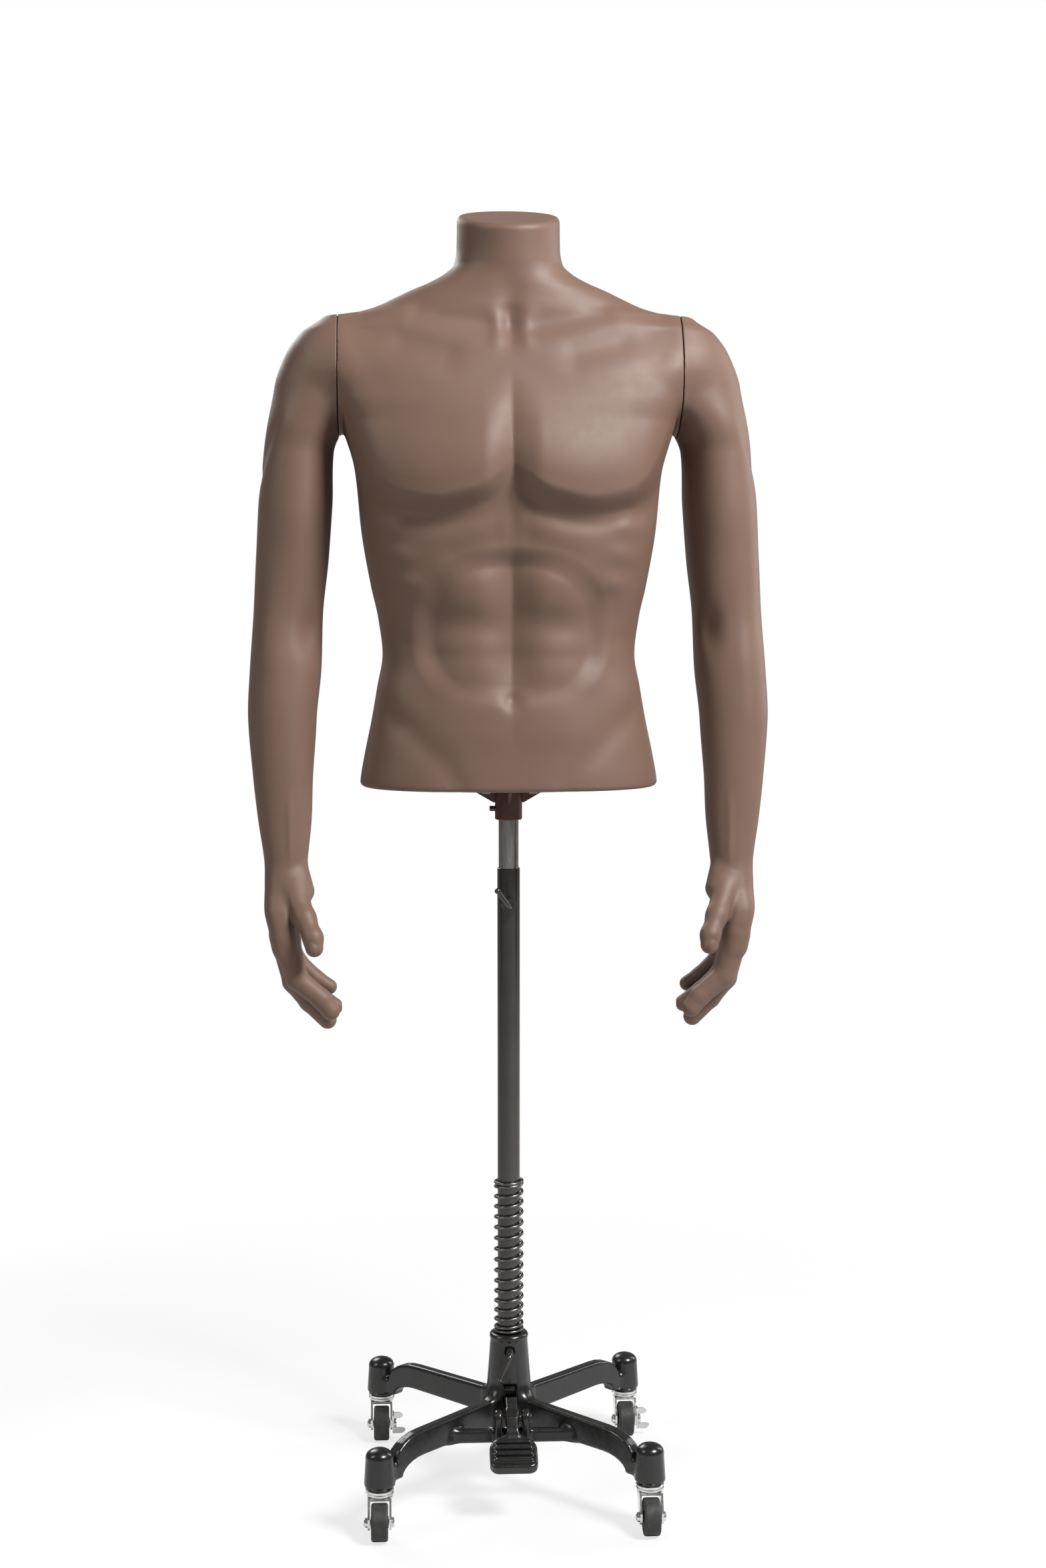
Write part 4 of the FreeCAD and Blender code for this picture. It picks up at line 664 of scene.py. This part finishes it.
def casting(x, y, z):
    """Hub, legs, bosses, the cross bar between the front legs, and the two pedal lugs."""
    away = np.hypot(x, y)
    hub = away - np.interp(z, [UNDER, WAIST_HEIGHT, HUB_TOP], [HUB_FOOT, HUB_WAIST, HUB_RIM])
    hub = meet(hub, np.maximum(UNDER - z, z - HUB_TOP), 2)
    bead = np.hypot(away - 18.6, z - (HUB_TOP - 3.4)) - 3.1
    leg, boss, along = leg_and_boss(x, y, z)
    whole = join(join(leg, boss, 5), join(hub, bead, 2), 6 + 12 * ramp(60, 25, along))
    below = BAR_TOP - z
    slant = (np.abs(x) - BAR_REACH - 0.8 * below) / 1.28
    wall = np.abs(y - PIVOT[0]) - BAR_HALF - 0.14 * below
    bar = meet(meet(wall, np.maximum(UNDER - z, -below), 2.5), slant, 3)
    rise = np.clip(z, UNDER + 8, PIVOT[1])
    lug = meet(np.abs(np.abs(x) - LUG_MIDDLE) - LUG_HALF,
               np.hypot(y - PIVOT[0], z - rise) - LUG_RADIUS, 2)
    lug = np.maximum(lug, UNDER - z)
    whole = join(join(whole, bar, 7), lug, 4)
    throat = away - np.where(z < BUSH_TOP, BUSH_RADIUS, THROAT_RADIUS)
    slot = meet(np.abs(x) - SLOT_HALF, np.abs(z - SLOT_MIDDLE) - SLOT_HALF_HEIGHT, 1.5)
    slot = meet(slot, np.abs(y + 24) - 12, 1.5)
    screw = np.maximum(np.hypot(x, z - SCREW_HEIGHT) - SCREW_RADIUS, y)
    return np.maximum(np.maximum(whole, -throat), np.maximum(-slot, -screw))


TREAD_SLOPE = math.radians(24)
TREAD_LENGTH, TREAD_HALF, TREAD_THICK = 47, 26, 12
# The tread's upper edge, in Y and Z.
TREAD_START = (-92, 86)
RIBS, FIRST_RIB, RIB_PITCH = 4, 10, 9
PIN_HOLE = 3.05


def on_tread(along, above):
    """A place in the pedal's side view, measured down the tread's slope and square to it."""
    sine, cosine = math.sin(TREAD_SLOPE), math.cos(TREAD_SLOPE)
    return (TREAD_START[0] - along * cosine - above * sine,
            TREAD_START[1] - along * sine + above * cosine)


def pedal(x, y, z):
    """Nose, arm and boss round the pin, and the round tread with its four ribs."""
    across = np.abs(x)
    top = PIVOT[1] + 10
    side = [(-22, top - 9.5), (-22, top - 1), (-29, top + 1), (-30, top + 12), (-34, top + 13.5),
            (PIVOT[0], top + 1), (PIVOT[0] - 11, top - 5), on_tread(1, 0.5), on_tread(8, -11),
            (PIVOT[0] - 9, PIVOT[1] - 6), (PIVOT[0], PIVOT[1] - 10), (PIVOT[0] + 14, top - 12.5)]
    arm = meet(flat_shape(y, z, side), across - 6.2, 1.4)
    boss = meet(np.hypot(y - PIVOT[0], z - PIVOT[1]) - 10, across - 7, 1)
    down, up = TREAD_START[0] - y, z - TREAD_START[1]
    along = down * math.cos(TREAD_SLOPE) - up * math.sin(TREAD_SLOPE)
    above = down * math.sin(TREAD_SLOPE) + up * math.cos(TREAD_SLOPE)
    corner = 19 - 9 * ramp(12, 36, along)
    half = TREAD_LENGTH / 2
    plate = np.hypot(np.maximum(across - TREAD_HALF + corner, 0),
                     np.maximum(np.abs(along - half) - half + corner, 0)) - corner
    plate = meet(plate, np.abs(above + TREAD_THICK / 2) - TREAD_THICK / 2, 3)
    whole = join(join(arm, boss, 2), plate, 9)
    for k in range(RIBS):
        past_end = np.maximum(across - 17 - 2 * (k > 0), 0)
        rib = np.hypot(past_end, np.hypot(along - FIRST_RIB - RIB_PITCH * k, above)) - 2.2
        whole = join(whole, rib, 1)
    for k in range(RIBS - 1):
        middle = FIRST_RIB + RIB_PITCH * (k + 0.5)
        past_end = np.maximum(across - 18, 0)
        valley = np.hypot(past_end, np.hypot(along - middle, above - 0.4)) - 2.6
        whole = -join(-whole, valley, 0.8)
    return np.maximum(whole, PIN_HOLE - np.hypot(y - PIVOT[0], z - PIVOT[1]))


def make_casting():
    edge = CASTER + 20
    low, high = (-edge, -edge, BOSS_LOW - 4), (edge, edge, HUB_TOP + 4)
    points, quads = meshed(casting, low, high, 3, 1)
    return new_object("casting", points, quads)


def make_pedal():
    cell = 1.8
    points, quads = meshed(pedal, (-30, -142, 56), (30, -18, 114), cell, 1)
    return new_object("pedal", points, quads)


def make_riser_spring():
    """Round wire in seventeen turns, with the end turns wound close."""
    spring_low, spring_high = box_mm("riser_spring")
    wire = 1.75
    coil = spring_high[0] - wire
    turns, segments, sides = 17, 40, 12
    count = turns * segments
    turn = np.linspace(0, turns, count + 1)
    share = smooth_through([0, 1.1, 2.2, turns - 2.4, turns - 1.4, turns],
                           [0, 0.022, 0.075, 0.915, 0.976, 1], turn)
    height = spring_low[2] + wire + share * (spring_high[2] - spring_low[2] - 2 * wire)
    angle = 2 * math.pi * turn + math.pi / 2
    around = 2 * math.pi * np.arange(sides) / sides
    rise = np.gradient(height) / (2 * math.pi * coil / segments)
    steep = np.sqrt(1 + rise ** 2)
    out, lift = np.cos(around) * wire, np.sin(around) * wire
    radius = coil + out[None, :]
    back = -(rise / steep)[:, None] * lift[None, :]
    points = np.stack([radius * np.cos(angle)[:, None] - back * np.sin(angle)[:, None],
                       radius * np.sin(angle)[:, None] + back * np.cos(angle)[:, None],
                       height[:, None] + lift[None, :] / steep[:, None]], 2).reshape(-1, 3)
    faces = []
    for k in range(count):
        for j in range(sides):
            after = (j + 1) % sides
            here, above = k * sides, (k + 1) * sides
            faces.append((here + j, above + j, above + after, here + after))
    piece = new_object("spring", points, faces)

    def close(bm):
        bm.verts.ensure_lookup_table()
        for start in (0, count * sides):
            ring = [bm.verts[start + j] for j in range(sides)]
            bm.faces.new(ring).smooth = False
    reshape(piece, close)
    return piece


# ---- materials ----

class Shader:
    """A Principled material and the nodes that feed it."""

    def __init__(self, name, **sockets):
        self.material = bpy.data.materials.new(name)
        self.material.use_nodes = True
        self.nodes = self.material.node_tree.nodes
        self.links = self.material.node_tree.links
        self.shader = next(n for n in self.nodes if n.type == "BSDF_PRINCIPLED")
        self.place = self.add("ShaderNodeTexCoord").outputs["Object"]
        for socket, value in sockets.items():
            self.shader.inputs[socket.replace("_", " ")].default_value = value

    def add(self, kind, **settings):
        node = self.nodes.new(kind)
        for name, value in settings.items():
            setattr(node, name, value)
        return node

    def noise(self, scale, detail=3, roughness=0.5):
        node = self.add("ShaderNodeTexNoise")
        node.inputs["Scale"].default_value = scale
        node.inputs["Detail"].default_value = detail
        node.inputs["Roughness"].default_value = roughness
        self.links.new(self.place, node.inputs["Vector"])
        return node.outputs["Fac"]

    def ranged(self, source, low, high, start=0.3, end=0.7):
        node = self.add("ShaderNodeMapRange")
        sockets = {"From Min": start, "From Max": end, "To Min": low, "To Max": high}
        for name, value in sockets.items():
            node.inputs[name].default_value = value
        self.links.new(source, node.inputs["Value"])
        return node.outputs["Result"]

    def blend(self, share, first, second):
        node = self.add("ShaderNodeMix", data_type="RGBA")
        node.inputs["A"].default_value = (*first, 1)
        node.inputs["B"].default_value = (*second, 1)
        self.links.new(share, node.inputs["Factor"])
        return node.outputs["Result"]

    def tones(self, scale, detail, dark, light):
        """A base colour that wanders between two."""
        share = self.ranged(self.noise(scale, detail), 0, 1)
        self.links.new(self.blend(share, dark, light), self.shader.inputs["Base Color"])

    def rough(self, scale, detail, low, high):
        """A roughness that wanders between two."""
        share = self.ranged(self.noise(scale, detail), low, high)
        self.links.new(share, self.shader.inputs["Roughness"])

    def bump(self, heights, distance):
        """Surface texture from heights of 0 to 1, for its full depth in metres."""
        node = self.add("ShaderNodeBump")
        node.inputs["Distance"].default_value = distance
        self.links.new(heights, node.inputs["Height"])
        self.links.new(node.outputs["Normal"], self.shader.inputs["Normal"])


def mannequin_paint():
    paint = Shader("mannequin_paint", Specular_IOR_Level=0.32)
    paint.tones(9, 3, (0.112, 0.0665, 0.048), (0.123, 0.073, 0.0525))
    paint.rough(60, 4, 0.52, 0.58)
    paint.bump(paint.noise(1400, 3, 0.6), 0.00008)
    return paint.material


def black_cast():
    """Gloss black over a rough casting."""
    paint = Shader("black_cast", Specular_IOR_Level=0.5)
    paint.tones(40, 4, (0.006, 0.0057, 0.0056), (0.011, 0.0102, 0.0098))
    paint.rough(160, 3, 0.22, 0.30)
    paint.bump(paint.noise(260, 3, 0.45), 0.00007)
    return paint.material


def dark_steel():
    metal = Shader("dark_steel", Metallic=0.8)
    metal.tones(25, 4, (0.060, 0.057, 0.054), (0.072, 0.069, 0.065))
    metal.rough(60, 4, 0.22, 0.27)
    metal.bump(metal.noise(700, 3), 0.00002)
    return metal.material


def steel(name, dark, light, low, high, stretch=(1, 1, 1)):
    """Bare or plated steel; the stretch draws its marks out along an axis."""
    metal = Shader(name, Metallic=1.0)
    mapping = metal.add("ShaderNodeMapping")
    mapping.inputs["Scale"].default_value = stretch
    metal.links.new(metal.place, mapping.inputs["Vector"])
    metal.place = mapping.outputs["Vector"]
    metal.tones(60, 5, dark, light)
    metal.rough(240, 4, low, high)
    metal.bump(metal.noise(600, 3), 0.000012)
    return metal.material


def rubber():
    tyre = Shader("black_rubber", Specular_IOR_Level=0.4)
    tyre.tones(120, 4, (0.014, 0.014, 0.014), (0.028, 0.027, 0.026))
    tyre.rough(300, 5, 0.5, 0.7)
    tyre.bump(tyre.noise(900, 4), 0.00012)
    return tyre.material


def brown_paint():
    paint = Shader("brown_paint", Specular_IOR_Level=0.4)
    paint.tones(70, 4, (0.050, 0.020, 0.013), (0.070, 0.028, 0.018))
    paint.rough(200, 4, 0.4, 0.55)
    paint.bump(paint.noise(420, 4), 0.00015)
    return paint.material


def plain(name, dark, light, low, high, metallic=0.0):
    """A finish of the inner parts."""
    paint = Shader(name, Metallic=metallic)
    paint.tones(90, 4, dark, light)
    paint.rough(240, 4, low, high)
    paint.bump(paint.noise(700, 3), 0.00008)
    return paint.material


MATERIALS = {
    "mannequin_paint": mannequin_paint(),
    "black_cast": black_cast(),
    "dark_steel": dark_steel(),
    "spring_steel": steel("spring_steel", (0.11, 0.107, 0.104), (0.135, 0.131, 0.127),
                          0.30, 0.36),
    "bright_steel": steel("bright_steel", (0.30, 0.29, 0.28), (0.42, 0.41, 0.40),
                          0.18, 0.30, (1, 1, 0.15)),
    "zinc_plate": steel("zinc_plate", (0.56, 0.56, 0.55), (0.70, 0.70, 0.69), 0.14, 0.28),
    "black_rubber": rubber(),
    "brown_paint": brown_paint(),
    "plywood": plain("plywood", (0.36, 0.24, 0.13), (0.50, 0.35, 0.20), 0.6, 0.8),
    "bronze": plain("bronze", (0.35, 0.22, 0.10), (0.45, 0.29, 0.14), 0.3, 0.45, 1.0),
    "friction_pad": plain("friction_pad", (0.012, 0.011, 0.010), (0.022, 0.020, 0.018),
                          0.8, 0.95),
    "black_plastic": plain("black_plastic", (0.015, 0.015, 0.016), (0.025, 0.025, 0.026),
                           0.35, 0.5),
}


def dress_frame():
    """Gives every CAD node the finish that the record names for it."""
    slots = {}
    for entry in frame["record"]["materials"]:
        for node in entry.get("nodes", []):
            slots[node] = entry["slot"]
    for name, node in frame["nodes"].items():
        slot = slots.get(name)
        if slot is None:
            own = node.data.materials
            slot = own[0].name.split(".")[0] if own else "dark_steel"
        material = MATERIALS.get(slot, MATERIALS["dark_steel"])
        if not node.data.materials:
            node.data.materials.append(material)
        for entry in node.material_slots:
            entry.material = material


def add_piece(piece, body, slot, *nodes):
    """Paints a piece, and has it ride on a body in place of its CAD nodes."""
    piece.data.materials.clear()
    piece.data.materials.append(MATERIALS[slot])
    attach(piece, body)
    if nodes:
        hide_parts(*nodes)


# ---- studio ----

def aim(thing, target):
    """Turns a camera or a light towards a place."""
    direction = Vector(target) - thing.location
    thing.rotation_euler = direction.to_track_quat("-Z", "Y").to_euler()


def add_light(name, place, target, width, height, power, tint=(1, 1, 1)):
    lamp = bpy.data.lights.new(name, "AREA")
    lamp.shape = "RECTANGLE"
    lamp.size, lamp.size_y = width, height
    lamp.energy = power
    lamp.color = tint
    holder = bpy.data.objects.new(name, lamp)
    bpy.context.scene.collection.objects.link(holder)
    holder.location = place
    aim(holder, target)


def make_camera():
    scene = bpy.context.scene
    camera = bpy.data.cameras.new("camera")
    camera.lens = 53.85
    camera.clip_end = 100
    holder = bpy.data.objects.new("camera", camera)
    scene.collection.objects.link(holder)
    holder.location = (-0.119, -2.574, 1.035)
    aim(holder, (0.016, 0, 0.792))
    scene.camera = holder


def make_world():
    """A dim even light for the object, seen as white by the camera."""
    scene = bpy.context.scene
    world = bpy.data.worlds.new("studio")
    world.use_nodes = True
    background = world.node_tree.nodes["Background"]
    background.inputs["Color"].default_value = (1, 1, 1, 1)
    seen = world.node_tree.nodes.new("ShaderNodeLightPath")
    level = world.node_tree.nodes.new("ShaderNodeMapRange")
    level.inputs["To Min"].default_value = 0.19
    level.inputs["To Max"].default_value = 1.0
    world.node_tree.links.new(seen.outputs["Is Camera Ray"], level.inputs["Value"])
    world.node_tree.links.new(level.outputs["Result"], background.inputs["Strength"])
    scene.world = world
    scene.view_settings.view_transform = "Standard"


def make_lights():
    middle = (0, 0, 1.0)
    add_light("key", (1.8, -1.7, 3.1), middle, 1.0, 1.0, 240)
    add_light("fill", (-2.5, -0.9, 2.3), middle, 0.8, 1.6, 30, (1, 1, 0.95))
    add_light("rim", (2.2, 1.2, 1.5), middle, 0.6, 1.6, 20)
    add_light("back", (-1.3, 2.6, 2.4), middle, 1.2, 1.2, 45)


def make_floor():
    """A pale floor that fades into the white behind it, away from the stand."""
    half = 12
    corners = [(-half, -half, 0), (half, -half, 0), (half, half, 0), (-half, half, 0)]
    mesh = bpy.data.meshes.new("floor")
    mesh.from_pydata(corners, [], [(0, 1, 2, 3)])
    floor = bpy.data.objects.new("floor", mesh)
    bpy.context.scene.collection.objects.link(floor)
    white = Shader("floor_white", Roughness=0.6)
    white.tones(2, 3, (0.60, 0.59, 0.59), (0.62, 0.61, 0.61))
    glow = white.add("ShaderNodeEmission")
    far = white.add("ShaderNodeVectorMath", operation="LENGTH")
    white.links.new(white.place, far.inputs[0])
    seen = white.add("ShaderNodeLightPath")
    share = white.add("ShaderNodeMath", operation="MULTIPLY")
    white.links.new(white.ranged(far.outputs["Value"], 0.72, 1, 0.35, 1.2), share.inputs[0])
    white.links.new(seen.outputs["Is Camera Ray"], share.inputs[1])
    sweep = white.add("ShaderNodeMixShader")
    white.links.new(share.outputs["Value"], sweep.inputs["Fac"])
    white.links.new(white.shader.outputs["BSDF"], sweep.inputs[1])
    white.links.new(glow.outputs["Emission"], sweep.inputs[2])
    surface = next(n for n in white.nodes if n.type == "OUTPUT_MATERIAL")
    white.links.new(sweep.outputs["Shader"], surface.inputs["Surface"])
    mesh.materials.append(white.material)


make_camera()
make_world()
make_lights()
make_floor()
dress_frame()
add_piece(make_torso(), "torso", "mannequin_paint", "torso_shell")
left_arm = make_arm()
right_arm = mirrored(left_arm, "right_arm")
add_piece(left_arm, "left_arm", "mannequin_paint", "left_arm_shell")
add_piece(right_arm, "right_arm", "mannequin_paint", "right_arm_shell")
add_piece(make_casting(), "base", "black_cast", "base_casting")
add_piece(make_pedal(), "pedal", "black_cast", "foot_pedal")
add_piece(make_riser_spring(), "base", "spring_steel", "riser_spring")
